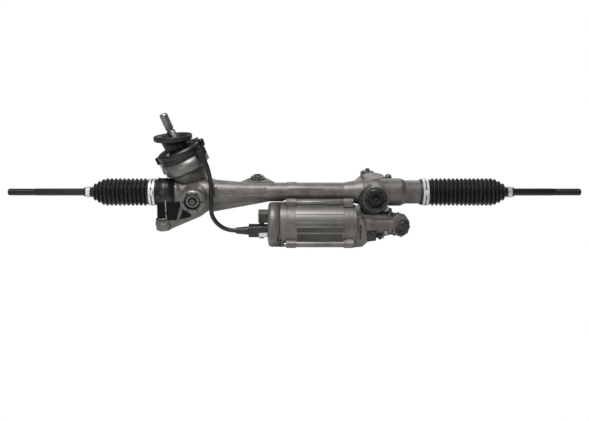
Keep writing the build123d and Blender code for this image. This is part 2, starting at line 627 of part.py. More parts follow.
# ---- rack housing: one long casting -----------------------------------------------------------
CHAMBER_R = WHEEL_TIP + 1.8
CHAMBER_OUT = CHAMBER_R + 4.5
CHAMBER_Z = (-83.0, -51.5)
WORM_CASE_R = 21.0
WORM_CASE_END = 230.0
YOKE_BOSS_R = 27.0
PRELOAD_R = 10.0
LUG_R = 6.5
LUG_ANGLES = (0, 55, 110, 165)
SCREW_R = 2.5
CASE_X = ((-254.0, -172.0), (146.0, 222.0))


def worm_case(gap):
    """The outline of the worm's casing, let out by a gap."""
    return [(0, FLANGE_X - gap), (FLANGE_R - 2 + gap, FLANGE_X - gap),
            (FLANGE_R - 2 + gap, FLANGE_X + 6 + gap), (26 + gap, FLANGE_X + 9 + gap),
            (WORM_CASE_R + gap, 150 + gap), (WORM_CASE_R + gap, WORM_CASE_END - 3),
            (WORM_CASE_R - 3, WORM_CASE_END), (0, WORM_CASE_END)]


CASE_WEB_X = -176.0
with BuildPart() as rack_housing:
    outside = [(0, NECK_END[0]), (NECK_R, NECK_END[0]), (NECK_R, CASE_X[0][0] - 8),
               (CASE_R, CASE_X[0][0]), (CASE_R, CASE_X[0][1]), (CASE_R - 3, CASE_X[0][1] + 6),
               (TUBE_R, -95), (TUBE_R, 104), (CASE_R - 2, CASE_X[1][0] - 4), (CASE_R, CASE_X[1][0]),
               (CASE_R, CASE_X[1][1]), (NECK_R, CASE_X[1][1] + 10), (NECK_R, NECK_END[1]), (0, NECK_END[1])]
    turned(RACK_LINE, outside)
    turned(TOWER_LINE, [(0, -38), (17, -38), (24, -30), (26, -12), (26, 34), (30, 44), (TOWER_R, 50),
                        (TOWER_R, SENSOR_L[0]), (0, SENSOR_L[0])])
    tube(STEER_YOKE_LINE, 0, YOKE_BOSS_R, 0, 50)
    tube(ASSIST_YOKE_LINE, 0, YOKE_BOSS_R, 0, 44)
    turned(ASSIST_LINE, [(0, CHAMBER_Z[1]), (26, CHAMBER_Z[1]), (26, 22), (22, 30), (0, 30)])
    turned(ASSIST_LINE, [(0, CHAMBER_Z[0]), (CHAMBER_OUT, CHAMBER_Z[0]), (CHAMBER_OUT, CHAMBER_Z[1] + 3),
                         (CHAMBER_OUT - 5, CHAMBER_Z[1] + 7), (0, CHAMBER_Z[1] + 7)])
    turned(WORM_LINE, worm_case(0))
    tube(PRELOAD_LINE, 0, 15, 0, 27)
    for angle in LUG_ANGLES:
        lug = ASSIST_LINE.origin + Vector(CHAMBER_OUT + 2, 0, 0).rotate(Axis.Z, angle)
        tube(turning_line(lug, Z, X), 0, LUG_R, CHAMBER_Z[0], CHAMBER_Z[0] + 22)
    # mounting bosses, each with the web that carries it
    tube(turning_line((0, 0, 0), Z, X), 0, EAR_R, 0, EAR_H)
    web = Plane(origin=at(0, -18, 0), x_dir=X, z_dir=-Y)
    prism(web, [(-290, -57), (-266, -20), (-250, 0), (-180, 0), (CASE_WEB_X, -30), (-196, -45), (-258, -73),
                (-276, -73)], 7, both=True)
    prism(Plane(origin=at(0, 0, 0), x_dir=X, z_dir=-Y),
          [(CASE_WEB_X, -43), (CASE_WEB_X, 0), (-53, 0), (-53, -19)], 6, both=True)
    for (mount_x, mount_y, low, high), half in ((CENTRE_MOUNT, 21), (RIGHT_MOUNT, 24)):
        tube(turning_line(at(mount_x, mount_y, 0), Z, X), 0, EAR_R - 1, low, high)
        arm = Plane(origin=at(mount_x, 0, (low + high) / 2), x_dir=X, z_dir=Z)
        prism(arm, [(-half, 4), (half, 4), (EAR_R - 3, mount_y), (3 - EAR_R, mount_y)], 13, both=True)
    # cavities
    for side, end in ((-1, -NECK_END[0]), (1, NECK_END[1])):
        tube(RACK_LINE, 0, WELL_R, side * STOP_X, side * (end + 1), Mode.SUBTRACT)
        tube(RACK_LINE, 0, BUSH_OUT, side * (STOP_X - BUSH_L - 1), side * STOP_X, Mode.SUBTRACT)
    tube(RACK_LINE, 0, BORE_R, -STOP_X, STOP_X, Mode.SUBTRACT)
    tube(TOWER_LINE, 0, LOWER_CUP, LOWER_L[0] - 3, -STEER_FACE, Mode.SUBTRACT)
    tube(TOWER_LINE, 0, STEER.tip_r + SKIN, -STEER_FACE - 2, UPPER_L[0], Mode.SUBTRACT)
    tube(TOWER_LINE, 0, UPPER_CUP, UPPER_L[0], UPPER_L[1], Mode.SUBTRACT)
    tube(TOWER_LINE, 0, UPPER_CUP + 1, UPPER_L[1], SENSOR_L[0], Mode.SUBTRACT)
    for line, boss in ((STEER_YOKE_LINE, 50), (ASSIST_YOKE_LINE, 44)):
        tube(line, 0, YOKE_R, 0, YOKE_L[1] + SPRING_L, Mode.SUBTRACT)
        tube(line, 0, PLUG_R, YOKE_L[1] + SPRING_L, boss, Mode.SUBTRACT)
    tube(ASSIST_LINE, 0, ASSIST.tip_r + SKIN, ASSIST_LOWER[1], ASSIST_UPPER[0] - 2, Mode.SUBTRACT)
    tube(ASSIST_LINE, 0, ASSIST_UPPER_CUP, ASSIST_UPPER[0] - 2, ASSIST_UPPER[1] + 1.5, Mode.SUBTRACT)
    tube(ASSIST_LINE, 0, ASSIST_LOWER_CUP, CHAMBER_Z[1], ASSIST_LOWER[1], Mode.SUBTRACT)
    tube(ASSIST_LINE, 0, CHAMBER_R, CHAMBER_Z[0], CHAMBER_Z[1], Mode.SUBTRACT)
    tube(WORM_LINE, 0, WORM_NEAR_CUP, FLANGE_X, WORM_NEAR[1], Mode.SUBTRACT)
    tube(WORM_LINE, 0, WORM_TIP + SKIN, WORM_NEAR[1], WORM_FAR[0], Mode.SUBTRACT)
    tube(WORM_LINE, 0, WORM_FAR_CUP, WORM_FAR[0], WORM_ENDS[1] + 1.5, Mode.SUBTRACT)
    tube(PRELOAD_LINE, 0, PRELOAD_R, WORM_FAR_CUP - 2, 27, Mode.SUBTRACT)
    tube(turning_line((0, 0, 0), Z, X), 0, SLEEVE_R, 0, EAR_H, Mode.SUBTRACT)
    tube(turning_line((0, 0, 0), Z, X), 0, EAR_R - 2, EAR_H, 2 * EAR_H, Mode.SUBTRACT)
    for mount_x, mount_y, low, high in (CENTRE_MOUNT, RIGHT_MOUNT):
        tube(turning_line(at(mount_x, mount_y, 0), Z, X), 0, SLEEVE_R, low, high, Mode.SUBTRACT)
    for angle in LUG_ANGLES:
        lug = ASSIST_LINE.origin + Vector(CHAMBER_OUT + 2, 0, 0).rotate(Axis.Z, angle)
        tube(turning_line(lug, Z, X), 0, SCREW_R, CHAMBER_Z[0], CHAMBER_Z[0] + 14, Mode.SUBTRACT)
rack_housing.part.label = "rack_housing"
export_step(rack_housing.part, "parts/rack_housing.step")

SLEEVE_PROUD = 4.0
with BuildPart() as mount_sleeves:
    tube(turning_line((0, 0, 0), Z, X), MOUNT_R, SLEEVE_R, 0, EAR_H + 1)
    for mount_x, mount_y, low, high in (CENTRE_MOUNT, RIGHT_MOUNT):
        tube(turning_line(at(mount_x, mount_y, 0), Z, X), MOUNT_R, SLEEVE_R, low, high + SLEEVE_PROUD)
mount_sleeves.part.label = "mount_sleeves"
export_step(mount_sleeves.part, "parts/mount_sleeves.step")

COVER_Z = CHAMBER_Z[0] - 6
with BuildPart() as gearbox_cover:
    turned(ASSIST_LINE, [(0, CHAMBER_Z[0]), (0, COVER_Z), (CHAMBER_OUT - 8, COVER_Z),
                         (CHAMBER_OUT, COVER_Z + 2), (CHAMBER_OUT, CHAMBER_Z[0])])
    for angle in LUG_ANGLES:
        lug = ASSIST_LINE.origin + Vector(CHAMBER_OUT + 2, 0, 0).rotate(Axis.Z, angle)
        tube(turning_line(lug, Z, X), 0, LUG_R, COVER_Z, CHAMBER_Z[0])
    for angle in range(0, 360, 45):
        rib = Plane(ASSIST_LINE.origin + Z * COVER_Z, x_dir=X.rotate(Axis.Z, angle), z_dir=-Z)
        prism(rib, [(8, -1.5), (CHAMBER_OUT - 12, -1.5), (CHAMBER_OUT - 12, 1.5), (8, 1.5)], 3)
    tube(ASSIST_LINE, 0, 10, COVER_Z - 3, COVER_Z)
    turned(WORM_LINE, worm_case(PLAY), Mode.SUBTRACT)
    for angle in LUG_ANGLES:
        lug = ASSIST_LINE.origin + Vector(CHAMBER_OUT + 2, 0, 0).rotate(Axis.Z, angle)
        tube(turning_line(lug, Z, X), 0, SCREW_R, COVER_Z, CHAMBER_Z[0], Mode.SUBTRACT)
gearbox_cover.part.label = "gearbox_cover"
export_step(gearbox_cover.part, "parts/gearbox_cover.step")

with BuildPart() as gearbox_screws:
    for angle in LUG_ANGLES:
        lug = ASSIST_LINE.origin + Vector(CHAMBER_OUT + 2, 0, 0).rotate(Axis.Z, angle)
        tube(turning_line(lug, Z, X), 0, SCREW_R, COVER_Z, CHAMBER_Z[0] + 13)
        tube(turning_line(lug, Z, X), 0, 5, COVER_Z - 4, COVER_Z)
gearbox_screws.part.label = "gearbox_screws"
export_step(gearbox_screws.part, "parts/gearbox_screws.step")

with BuildPart() as preload_spring:
    tube(PRELOAD_LINE, 5, 9, WORM_FAR_CUP, 18)
preload_spring.part.label = "preload_spring"
export_step(preload_spring.part, "parts/preload_spring.step")

with BuildPart() as preload_plug:
    turned(PRELOAD_LINE, [(0, 18), (PRELOAD_R, 18), (PRELOAD_R, 27), (PRELOAD_R + 2, 27),
                          (PRELOAD_R + 2, 30), (PRELOAD_R, 31), (4, 31), (4, 28), (0, 28)])
preload_plug.part.label = "preload_plug"
export_step(preload_plug.part, "parts/preload_plug.step")

# ---- torque sensor on the tower ---------------------------------------------------------------
SENSOR_BORE = 38.0
COVER_SCREW_AT = 42.0
HUB_R = 16.0
HUB_TOP = SEAL_L[1] + 2.0
with BuildPart() as sensor_housing:
    turned(TOWER_LINE, [(UPPER_CUP + 1, SENSOR_L[0]), (SENSOR_R - 2, SENSOR_L[0]),
                        (SENSOR_R, SENSOR_L[0] + 2), (SENSOR_R, SENSOR_L[1]),
                        (SENSOR_BORE, SENSOR_L[1]), (SENSOR_BORE, SENSOR_L[0] + 4),
                        (UPPER_CUP + 1, SENSOR_L[0] + 4)])
    with BuildSketch(across(tower_point(SENSOR_L[1]), UP_TOWER, Y)) as holes:
        with PolarLocations(COVER_SCREW_AT, 3, start_angle=40):
            Circle(SCREW_R)
    extrude(holes.sketch, amount=-16, mode=Mode.SUBTRACT)
sensor_housing.part.label = "sensor_housing"
export_step(sensor_housing.part, "parts/sensor_housing.step")

with BuildPart() as sensor_cover:
    turned(TOWER_LINE, [(INPUT_CUP, SENSOR_L[1]), (SENSOR_R, SENSOR_L[1]), (SENSOR_R, COVER_TOP - 3),
                        (SENSOR_R - 3, COVER_TOP), (HUB_R, COVER_TOP), (HUB_R, HUB_TOP),
                        (SEAL_CUP, HUB_TOP), (SEAL_CUP, SEAL_L[0]), (SHAFT_R + 2.5, SEAL_L[0]),
                        (SHAFT_R + 2.5, INPUT_L[1]), (INPUT_CUP, INPUT_L[1])])
    with BuildSketch(across(tower_point(COVER_TOP), UP_TOWER, Y)) as holes:
        with PolarLocations(COVER_SCREW_AT, 3, start_angle=40):
            Circle(SCREW_R)
    extrude(holes.sketch, amount=SENSOR_L[1] - COVER_TOP, mode=Mode.SUBTRACT)
sensor_cover.part.label = "sensor_cover"
export_step(sensor_cover.part, "parts/sensor_cover.step")

with BuildPart() as cover_screws:
    with BuildSketch(across(tower_point(COVER_TOP), UP_TOWER, Y)) as shanks:
        with PolarLocations(COVER_SCREW_AT, 3, start_angle=40):
            Circle(SCREW_R)
    extrude(shanks.sketch, amount=SENSOR_L[1] - COVER_TOP - 15)
    with BuildSketch(across(tower_point(COVER_TOP), UP_TOWER, Y)) as heads:
        with PolarLocations(COVER_SCREW_AT, 3, start_angle=40):
            Circle(4.5)
            RegularPolygon(2.2, 6, mode=Mode.SUBTRACT)
    extrude(heads.sketch, amount=4.5)
cover_screws.part.label = "cover_screws"
export_step(cover_screws.part, "parts/cover_screws.step")

BOARD_T = 1.6
BOARD_L = SENSOR_L[1] - 3.8 - BOARD_T
with BuildPart() as sensor_board:
    tube(TOWER_LINE, HUB_R + 2, SENSOR_BORE, BOARD_L, BOARD_L + BOARD_T)
sensor_board.part.label = "sensor_board"
export_step(sensor_board.part, "parts/sensor_board.step")

PLUG_SIDE = Vector(45.7, -30.5, 17.6)
OUT = (PLUG_SIDE - UP_TOWER * PLUG_SIDE.dot(UP_TOWER)).normalized()
PLUG_L = SENSOR_L[0] + 12.0
PLUG_AT = 56.0
with BuildPart() as sensor_connector:
    prism(across(tower_point(PLUG_L), UP_TOWER, OUT),
          [(40, -9), (62, -9), (65, -6), (65, 6), (62, 9), (40, 9)], 12)
    tube(TOWER_LINE, 0, SENSOR_R, PLUG_L - 2, PLUG_L + 14, Mode.SUBTRACT)
sensor_connector.part.label = "sensor_connector"
export_step(sensor_connector.part, "parts/sensor_connector.step")

# ---- rubber seal between the steering tower and the bulkhead ----------------------------------
FLARE_AT = (-252.5, STEER.centre_y)
FLARE_R = 40.0
FLARE_Z = 114.0
RIM_IN = 30.0
SEAL_WALL = 2.5


def seal_neck(lower, upper):
    """A hose from a circle square to the shaft to a level circle under the rim."""
    with BuildSketch(across(tower_point(COVER_TOP), UP_TOWER, Y)) as bottom:
        Circle(lower)
    with BuildSketch(Plane(origin=at(*FLARE_AT, FLARE_Z - 7), x_dir=Y, z_dir=Z)) as top:
        Circle(upper)
    return bottom.sketch, top.sketch


with BuildPart() as bulkhead_seal:
    loft(seal_neck(21, 27))
    flare = turning_line(at(*FLARE_AT, 0), Z, X)
    turned(flare, [(0, FLARE_Z - 7), (27, FLARE_Z - 7), (29, FLARE_Z - 4), (FLARE_R, FLARE_Z - 3),
                   (FLARE_R, FLARE_Z), (RIM_IN, FLARE_Z), (28, FLARE_Z - 1.5), (0, FLARE_Z - 1.5)])
    loft(seal_neck(21 - SEAL_WALL, 27 - SEAL_WALL), mode=Mode.SUBTRACT)
    tube(flare, 0, 27 - SEAL_WALL, FLARE_Z - 7, FLARE_Z + 1, Mode.SUBTRACT)
bulkhead_seal.part.label = "bulkhead_seal"
export_step(bulkhead_seal.part, "parts/bulkhead_seal.step")

# ---- assist motor -----------------------------------------------------------------------------
BAR_AT = 51.5
BAR_ANGLES = (93, 210, 330)
BAR_HALF = 6.0
BOLT_R = 3.0
REAR_WALL = 18.0


def motor_ring(radius, low, high, lugs):
    """A disc square to the motor's axis with three lugs or bars for the through bolts."""
    with BuildSketch(across(at(low, WORM_Y, WORM_Z), X, Y)) as face:
        Circle(radius)
        for angle in BAR_ANGLES:
            with Locations(Location((0, 0), angle)):
                with Locations(((BAR_AT + radius - 8) / 2, 0)):
                    Rectangle(BAR_AT - radius + 8, 2 * lugs)
                with Locations((BAR_AT, 0)):
                    Circle(lugs)
    extrude(face.sketch, amount=high - low)


def bolt_circle(radius, low, high, mode):
    """Three rods or holes on the through bolts' places."""
    with BuildSketch(across(at(low, WORM_Y, WORM_Z), X, Y)) as rods:
        for angle in BAR_ANGLES:
            with Locations(polar(BAR_AT, radians(angle))):
                Circle(radius)
    extrude(rods.sketch, amount=high - low, mode=mode)


STATOR_OUT = MOTOR_R - MOTOR_WALL
with BuildPart() as motor_housing:
    motor_ring(MOTOR_R, MOTOR_X[0], MOTOR_X[1], BAR_HALF)
    with BuildSketch(across(at(MOTOR_X[0], WORM_Y, WORM_Z), X, Y)) as ribs:
        for angle in (130, 155, 180, 240, 265, 290):
            with Locations(Location((0, 0), angle)):
                with Locations((MOTOR_R, 0)):
                    Rectangle(2.4, 3)
    extrude(ribs.sketch, amount=MOTOR_X[1] - MOTOR_X[0])
    tube(WORM_LINE, 0, STATOR_OUT, MOTOR_X[0] + REAR_WALL - 3, MOTOR_X[1], Mode.SUBTRACT)
    tube(WORM_LINE, MOTOR_CUP + 4, STATOR_OUT, MOTOR_REAR[0], MOTOR_X[1], Mode.SUBTRACT)
    tube(WORM_LINE, 0, MOTOR_CUP, MOTOR_REAR[0], MOTOR_X[1], Mode.SUBTRACT)
    tube(WORM_LINE, 0, MOTOR_SHAFT + 2, MOTOR_X[0], MOTOR_X[1], Mode.SUBTRACT)
    bolt_circle(BOLT_R + 0.2, MOTOR_X[0], MOTOR_X[1], Mode.SUBTRACT)
motor_housing.part.label = "motor_housing"
export_step(motor_housing.part, "parts/motor_housing.step")

with BuildPart() as stator:
    turned(WORM_LINE, [(ROTOR_R + 0.8, ROTOR_X[0] + 2), (ROTOR_R + 3, ROTOR_X[0] - 1),
                       (STATOR_OUT - 3, ROTOR_X[0] - 1), (STATOR_OUT, ROTOR_X[0] + 2),
                       (STATOR_OUT, ROTOR_X[1] - 2), (STATOR_OUT - 3, ROTOR_X[1] + 1),
                       (ROTOR_R + 3, ROTOR_X[1] + 1), (ROTOR_R + 0.8, ROTOR_X[1] - 2)])
stator.part.label = "stator"
export_step(stator.part, "parts/stator.step")

with BuildPart() as motor_flange:
    motor_ring(FLANGE_R, MOTOR_X[1], FLANGE_X, BAR_HALF + 1.5)
    tube(WORM_LINE, 0, MOTOR_SHAFT + 2, MOTOR_X[1], FLANGE_X, Mode.SUBTRACT)
    tube(WORM_LINE, 0, MOTOR_CUP, MOTOR_FRONT[0], MOTOR_FRONT[1], Mode.SUBTRACT)
    tube(WORM_LINE, 0, WORM_NEAR_CUP, MOTOR_FRONT[1], FLANGE_X, Mode.SUBTRACT)
    bolt_circle(BOLT_R + 0.2, MOTOR_X[1], FLANGE_X, Mode.SUBTRACT)
motor_flange.part.label = "motor_flange"
export_step(motor_flange.part, "parts/motor_flange.step")

LUG_X = (-17.0, 3.0)
with BuildPart() as controller_housing:
    tube(WORM_LINE, 0, CONTROL_R, CONTROL_X[1], LUG_X[0])
    motor_ring(CONTROL_R, LUG_X[0], LUG_X[1], BAR_HALF + 1.5)
    tube(WORM_LINE, 0, CONTROL_R - CONTROL_WALL, CONTROL_X[1], LUG_X[1] - 3, Mode.SUBTRACT)
    tube(WORM_LINE, 0, MOTOR_SHAFT + 2, LUG_X[1] - 3, LUG_X[1], Mode.SUBTRACT)
    bolt_circle(BOLT_R + 0.2, LUG_X[0], LUG_X[1], Mode.SUBTRACT)
controller_housing.part.label = "controller_housing"
export_step(controller_housing.part, "parts/controller_housing.step")

with BuildPart() as motor_bolts:
    bolt_circle(BOLT_R, LUG_X[0], FLANGE_X - 2, Mode.ADD)
    bolt_circle(BOLT_R + 1.2, LUG_X[0] - 5, LUG_X[0], Mode.ADD)
motor_bolts.part.label = "motor_bolts"
export_step(motor_bolts.part, "parts/motor_bolts.step")

END_FACE_R = 34.0
with BuildPart() as controller_cover:
    inner = CONTROL_R - CONTROL_WALL
    turned(WORM_LINE, [(0, CONTROL_X[0]), (END_FACE_R, CONTROL_X[0]), (CONTROL_R - 1, CONTROL_X[1] - 3),
                       (CONTROL_R, CONTROL_X[1]), (inner, CONTROL_X[1]), (inner - 1, CONTROL_X[1] - 2),
                       (END_FACE_R - 3, CONTROL_X[0] + CONTROL_WALL), (0, CONTROL_X[0] + CONTROL_WALL)])
controller_cover.part.label = "controller_cover"
export_step(controller_cover.part, "parts/controller_cover.step")

with BuildPart() as circuit_board:
    tube(WORM_LINE, 0, CONTROL_R - CONTROL_WALL, CONTROL_X[1] + 1, CONTROL_X[1] + 2.6)
circuit_board.part.label = "circuit_board"
export_step(circuit_board.part, "parts/circuit_board.step")

POWER_AT = (WORM_Y + 1, WORM_Z + 18.5)
POWER_SIZE = (20.0, 24.0, 20.0)
with BuildPart() as power_connector:
    face = across(at(CONTROL_X[0], *POWER_AT), -X, Y)
    with BuildSketch(face) as shell:
        RectangleRounded(POWER_SIZE[0], POWER_SIZE[1], 3)
    extrude(shell.sketch, amount=POWER_SIZE[2])
    with BuildSketch(face.offset(3)) as socket:
        RectangleRounded(POWER_SIZE[0] - 4, POWER_SIZE[1] - 4, 2)
    extrude(socket.sketch, amount=POWER_SIZE[2], mode=Mode.SUBTRACT)
    with BuildSketch(face.offset(2)) as blades:
        with GridLocations(0, 9, 1, 2):
            Rectangle(6, 1)
    extrude(blades.sketch, amount=10)
power_connector.part.label = "power_connector"
export_step(power_connector.part, "parts/power_connector.step")

# ---- sensor cable: held at both ends, it hangs in front of the tube ---------------------------
PLUG_Y, PLUG_Z = -45.0, -69.0
PLUG_X = (-95.0, CONTROL_X[0])
CABLE_LINE = turning_line(at(0, PLUG_Y, PLUG_Z), X, Z)
CABLE_END = -115.0
exit_point = tower_point(PLUG_L) + OUT * PLUG_AT
CABLE_ROUTE = [exit_point, exit_point - UP_TOWER * 25, at(-174, -22, 40), at(-171, -35, 16.5),
               at(-171, -42, -8), at(-172, -45, -30.5), at(-164.7, -45, -48.2),
               at(-151.2, -45, -61.7), at(-133.5, PLUG_Y, PLUG_Z),
               at(CABLE_END, PLUG_Y, PLUG_Z)]
runs = [after - before for before, after in zip(CABLE_ROUTE, CABLE_ROUTE[1:])]
radii = []
for before, after in zip(runs, runs[1:]):
    half_turn = radians(before.get_angle(after)) / 2
    radii.append(0.45 * min(before.length, after.length) / tan(half_turn))
print("cable bend radii", [round(radius, 1) for radius in radii])
with BuildPart() as sensor_cable:
    with BuildLine() as route:
        FilletPolyline(*CABLE_ROUTE, radius=radii)
    with BuildSketch(Plane(origin=route.line @ 0, z_dir=route.line % 0)) as core:
        Circle(CABLE_R)
    sweep(core.sketch, path=route.line)
sensor_cable.part.label = "sensor_cable"
export_step(sensor_cable.part, "parts/sensor_cable.step")
cable_length = sum(edge.length for edge in route.edges())
print("cable length", round(cable_length, 1), "volume ratio",
      round(sensor_cable.part.volume / (pi * CABLE_R ** 2 * cable_length), 4))

with BuildPart() as cable_boot:
    turned(CABLE_LINE, [(CABLE_R, PLUG_X[0] - 27), (6.5, PLUG_X[0] - 27), (9, PLUG_X[0]), (0, PLUG_X[0]),
                        (0, CABLE_END), (CABLE_R, CABLE_END)])
cable_boot.part.label = "cable_boot"
export_step(cable_boot.part, "parts/cable_boot.step")

with BuildPart() as sensor_plug:
    with BuildSketch(across(at(PLUG_X[0], PLUG_Y, PLUG_Z), X, Y)) as body:
        RectangleRounded(20, 24, 3)
    extrude(body.sketch, amount=PLUG_X[1] - PLUG_X[0])
    with BuildSketch(across(at(PLUG_X[0] + 22, PLUG_Y, PLUG_Z), X, Y)) as collar:
        RectangleRounded(23, 27, 3)
    extrude(collar.sketch, amount=10)
sensor_plug.part.label = "sensor_plug"
export_step(sensor_plug.part, "parts/sensor_plug.step")
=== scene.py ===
import json
from math import cos, pi, radians, sin

import bmesh
import bpy
import numpy as np
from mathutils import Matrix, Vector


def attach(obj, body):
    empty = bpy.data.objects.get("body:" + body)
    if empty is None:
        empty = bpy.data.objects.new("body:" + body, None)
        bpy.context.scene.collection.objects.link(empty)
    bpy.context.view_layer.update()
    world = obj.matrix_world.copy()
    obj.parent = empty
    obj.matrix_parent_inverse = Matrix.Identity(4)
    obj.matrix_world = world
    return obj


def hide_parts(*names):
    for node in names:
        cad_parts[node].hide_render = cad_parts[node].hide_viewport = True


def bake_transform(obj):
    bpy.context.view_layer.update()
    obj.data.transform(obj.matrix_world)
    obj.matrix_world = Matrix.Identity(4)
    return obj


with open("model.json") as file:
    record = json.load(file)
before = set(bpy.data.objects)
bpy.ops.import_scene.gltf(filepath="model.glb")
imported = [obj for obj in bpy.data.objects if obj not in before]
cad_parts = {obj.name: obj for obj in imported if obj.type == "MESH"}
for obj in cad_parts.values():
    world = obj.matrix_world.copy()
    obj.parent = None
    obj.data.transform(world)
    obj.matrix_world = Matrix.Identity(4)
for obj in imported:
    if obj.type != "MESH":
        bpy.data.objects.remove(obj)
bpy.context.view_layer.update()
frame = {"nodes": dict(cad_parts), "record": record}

# ---- Camera, floor and light -------------------------------------------------------------------
# All the places below are given from the rack's centre. The camera looks at it from in front and
# 20 degrees above, and the shift sets the rack a little above the middle of the frame.
CENTRE = np.array((0.276, 0.020, 0.075))
FRAME_WIDE, FOCAL, LIFT = 589, 712.0, 18.5  # in pixels of the frame
SENSOR_WIDE, DISTANCE, ELEVATION = 36.0, 1.5, radians(20)  # in mm, metres and radians
view = bpy.data.cameras.new("camera")
view.sensor_width, view.lens = SENSOR_WIDE, FOCAL * SENSOR_WIDE / FRAME_WIDE
view.shift_y = -LIFT / FRAME_WIDE
view.clip_start, view.clip_end = 0.05, 20
camera = bpy.data.objects.new("camera", view)
camera.location = CENTRE + DISTANCE * np.array((0, -cos(ELEVATION), sin(ELEVATION)))
camera.rotation_euler = (pi / 2 - ELEVATION, 0, 0)
bpy.context.scene.collection.objects.link(camera)
bpy.context.scene.camera = camera
bpy.context.scene.view_settings.view_transform = "Standard"


def softbox(name, place, aim, size, power):
    """An area light, size metres square, at place and aimed at aim, both from the rack's centre."""
    light = bpy.data.lights.new(name, "AREA")
    light.size, light.energy = size, power
    lamp = bpy.data.objects.new(name, light)
    lamp.location = CENTRE + np.array(place)
    way = Vector(np.array(aim, float) - np.array(place, float))
    lamp.rotation_euler = way.to_track_quat("-Z", "Y").to_euler()
    bpy.context.scene.collection.objects.link(lamp)


softbox("top_light", (-0.25, -0.3, 1.3), (0, 0, 0), 0.6, 21)
softbox("front_light", (-0.6, -1.5, 0.5), (0, 0, 0), 0.5, 4)
softbox("back_light", (0.3, 1.3, 0.9), (0, 0, 0), 0.9, 7)


def wire(tree, kind, **values):
    """A node of that kind, each value set on or linked to what it names; _2 names the input number 2."""
    node = tree.nodes.new(kind)
    for name, value in values.items():
        if hasattr(node, name) and not isinstance(value, bpy.types.NodeSocket):
            setattr(node, name, value)
            continue
        key = int(name[1:]) if name[0] == "_" else name.replace("_", " ")
        if isinstance(value, bpy.types.NodeSocket):
            tree.links.new(value, node.inputs[key])
        else:
            node.inputs[key].default_value = value
    return node


def blank(name):
    """A material with an empty node tree, and that tree."""
    material = bpy.data.materials.new(name)
    material.use_nodes = True
    material.node_tree.nodes.clear()
    return material, material.node_tree


ROOM_LIGHT = 0.17  # strength of the white air on the object; the camera sees it at 1
world = bpy.data.worlds.new("studio")
bpy.context.scene.world = world
world.use_nodes = True
sky = world.node_tree
sky.nodes.clear()
seen = wire(sky, "ShaderNodeLightPath")
glow = wire(sky, "ShaderNodeMath", operation="MULTIPLY_ADD", _0=seen.outputs["Is Camera Ray"],
            _1=1 - ROOM_LIGHT, _2=ROOM_LIGHT)
air = wire(sky, "ShaderNodeBackground", Color=(1, 1, 1, 1), Strength=glow.outputs[0])
wire(sky, "ShaderNodeOutputWorld", Surface=air.outputs[0])

FLOOR_DEPTH = 0.115
paper, tree = blank("paper")
speck = wire(tree, "ShaderNodeTexNoise", Scale=60.0)
shade = wire(tree, "ShaderNodeMix", data_type="RGBA", _0=speck.outputs["Fac"], _6=(0.86, 0.86, 0.86, 1),
             _7=(0.9, 0.9, 0.9, 1))
matt = wire(tree, "ShaderNodeBsdfDiffuse", Color=shade.outputs[2])
bright = wire(tree, "ShaderNodeEmission", Color=(1, 1, 1, 1), Strength=1.0)
ray = wire(tree, "ShaderNodeLightPath")
both = wire(tree, "ShaderNodeMixShader", _0=ray.outputs["Is Camera Ray"], _1=matt.outputs[0],
            _2=bright.outputs[0])
wire(tree, "ShaderNodeOutputMaterial", Surface=both.outputs[0])
bpy.ops.mesh.primitive_plane_add(size=9, location=(CENTRE[0], CENTRE[1], CENTRE[2] - FLOOR_DEPTH))
floor = bpy.context.object
floor.name = "floor"
floor.data.materials.append(paper)

# ---- The sensor cable --------------------------------------------------------------------------
# The real lead is a rubber-jacketed cable, moulded into a boot and a plug. It is one smooth line
# through the same points as the CAD tube: down from the sensor connector, in front of the housing,
# and back along the controller's side into its plug.
CABLE_R, CABLE_LENGTH = 0.0045, 0.2007
route = CENTRE + np.array([
    (-189.641, -11.107, 86.120), (-180.682, -11.107, 62.780), (-174, -22, 40), (-171, -35, 16.5),
    (-171, -42, -8), (-172, -45, -30.5), (-164.7, -45, -48.2), (-151.2, -45, -61.7),
    (-133.5, -45, -69), (-115, -45, -69)]) / 1000
line = bpy.data.curves.new("sensor_lead", "CURVE")
line.dimensions, line.bevel_depth, line.bevel_resolution, line.resolution_u = "3D", 1.0, 6, 16
line.use_fill_caps = True
spline = line.splines.new("NURBS")
spline.points.add(len(route) - 1)
spline.points.foreach_set("co", np.c_[route, np.ones(len(route))].ravel())
spline.points.foreach_set("radius", np.full(len(route), CABLE_R))
spline.order_u, spline.use_endpoint_u = 3, True
lead = bpy.data.objects.new("sensor_lead", line)
bpy.context.scene.collection.objects.link(lead)
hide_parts("sensor_cable")
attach(lead, "housing")

# ---- Surface effects and the metals ------------------------------------------------------------
# The pieces are cast, machined and plated metal, rubber and plastic. Two shader groups are shared,
# edges lightened partly as wear and partly as painted highlight, and a grain with slow blotches, and
# each material sets its own sizes and depths for them.
def group(name, inputs, outputs):
    """A shader group with float inputs {name: value} and outputs {name: socket type}."""
    made = bpy.data.node_groups.new(name, "ShaderNodeTree")
    for label, value in inputs.items():
        socket = made.interface.new_socket(label, in_out="INPUT", socket_type="NodeSocketFloat")
        socket.default_value = value
    for label, kind in outputs.items():
        made.interface.new_socket(label, in_out="OUTPUT", socket_type=kind)
    return made, made.nodes.new("NodeGroupInput"), made.nodes.new("NodeGroupOutput")
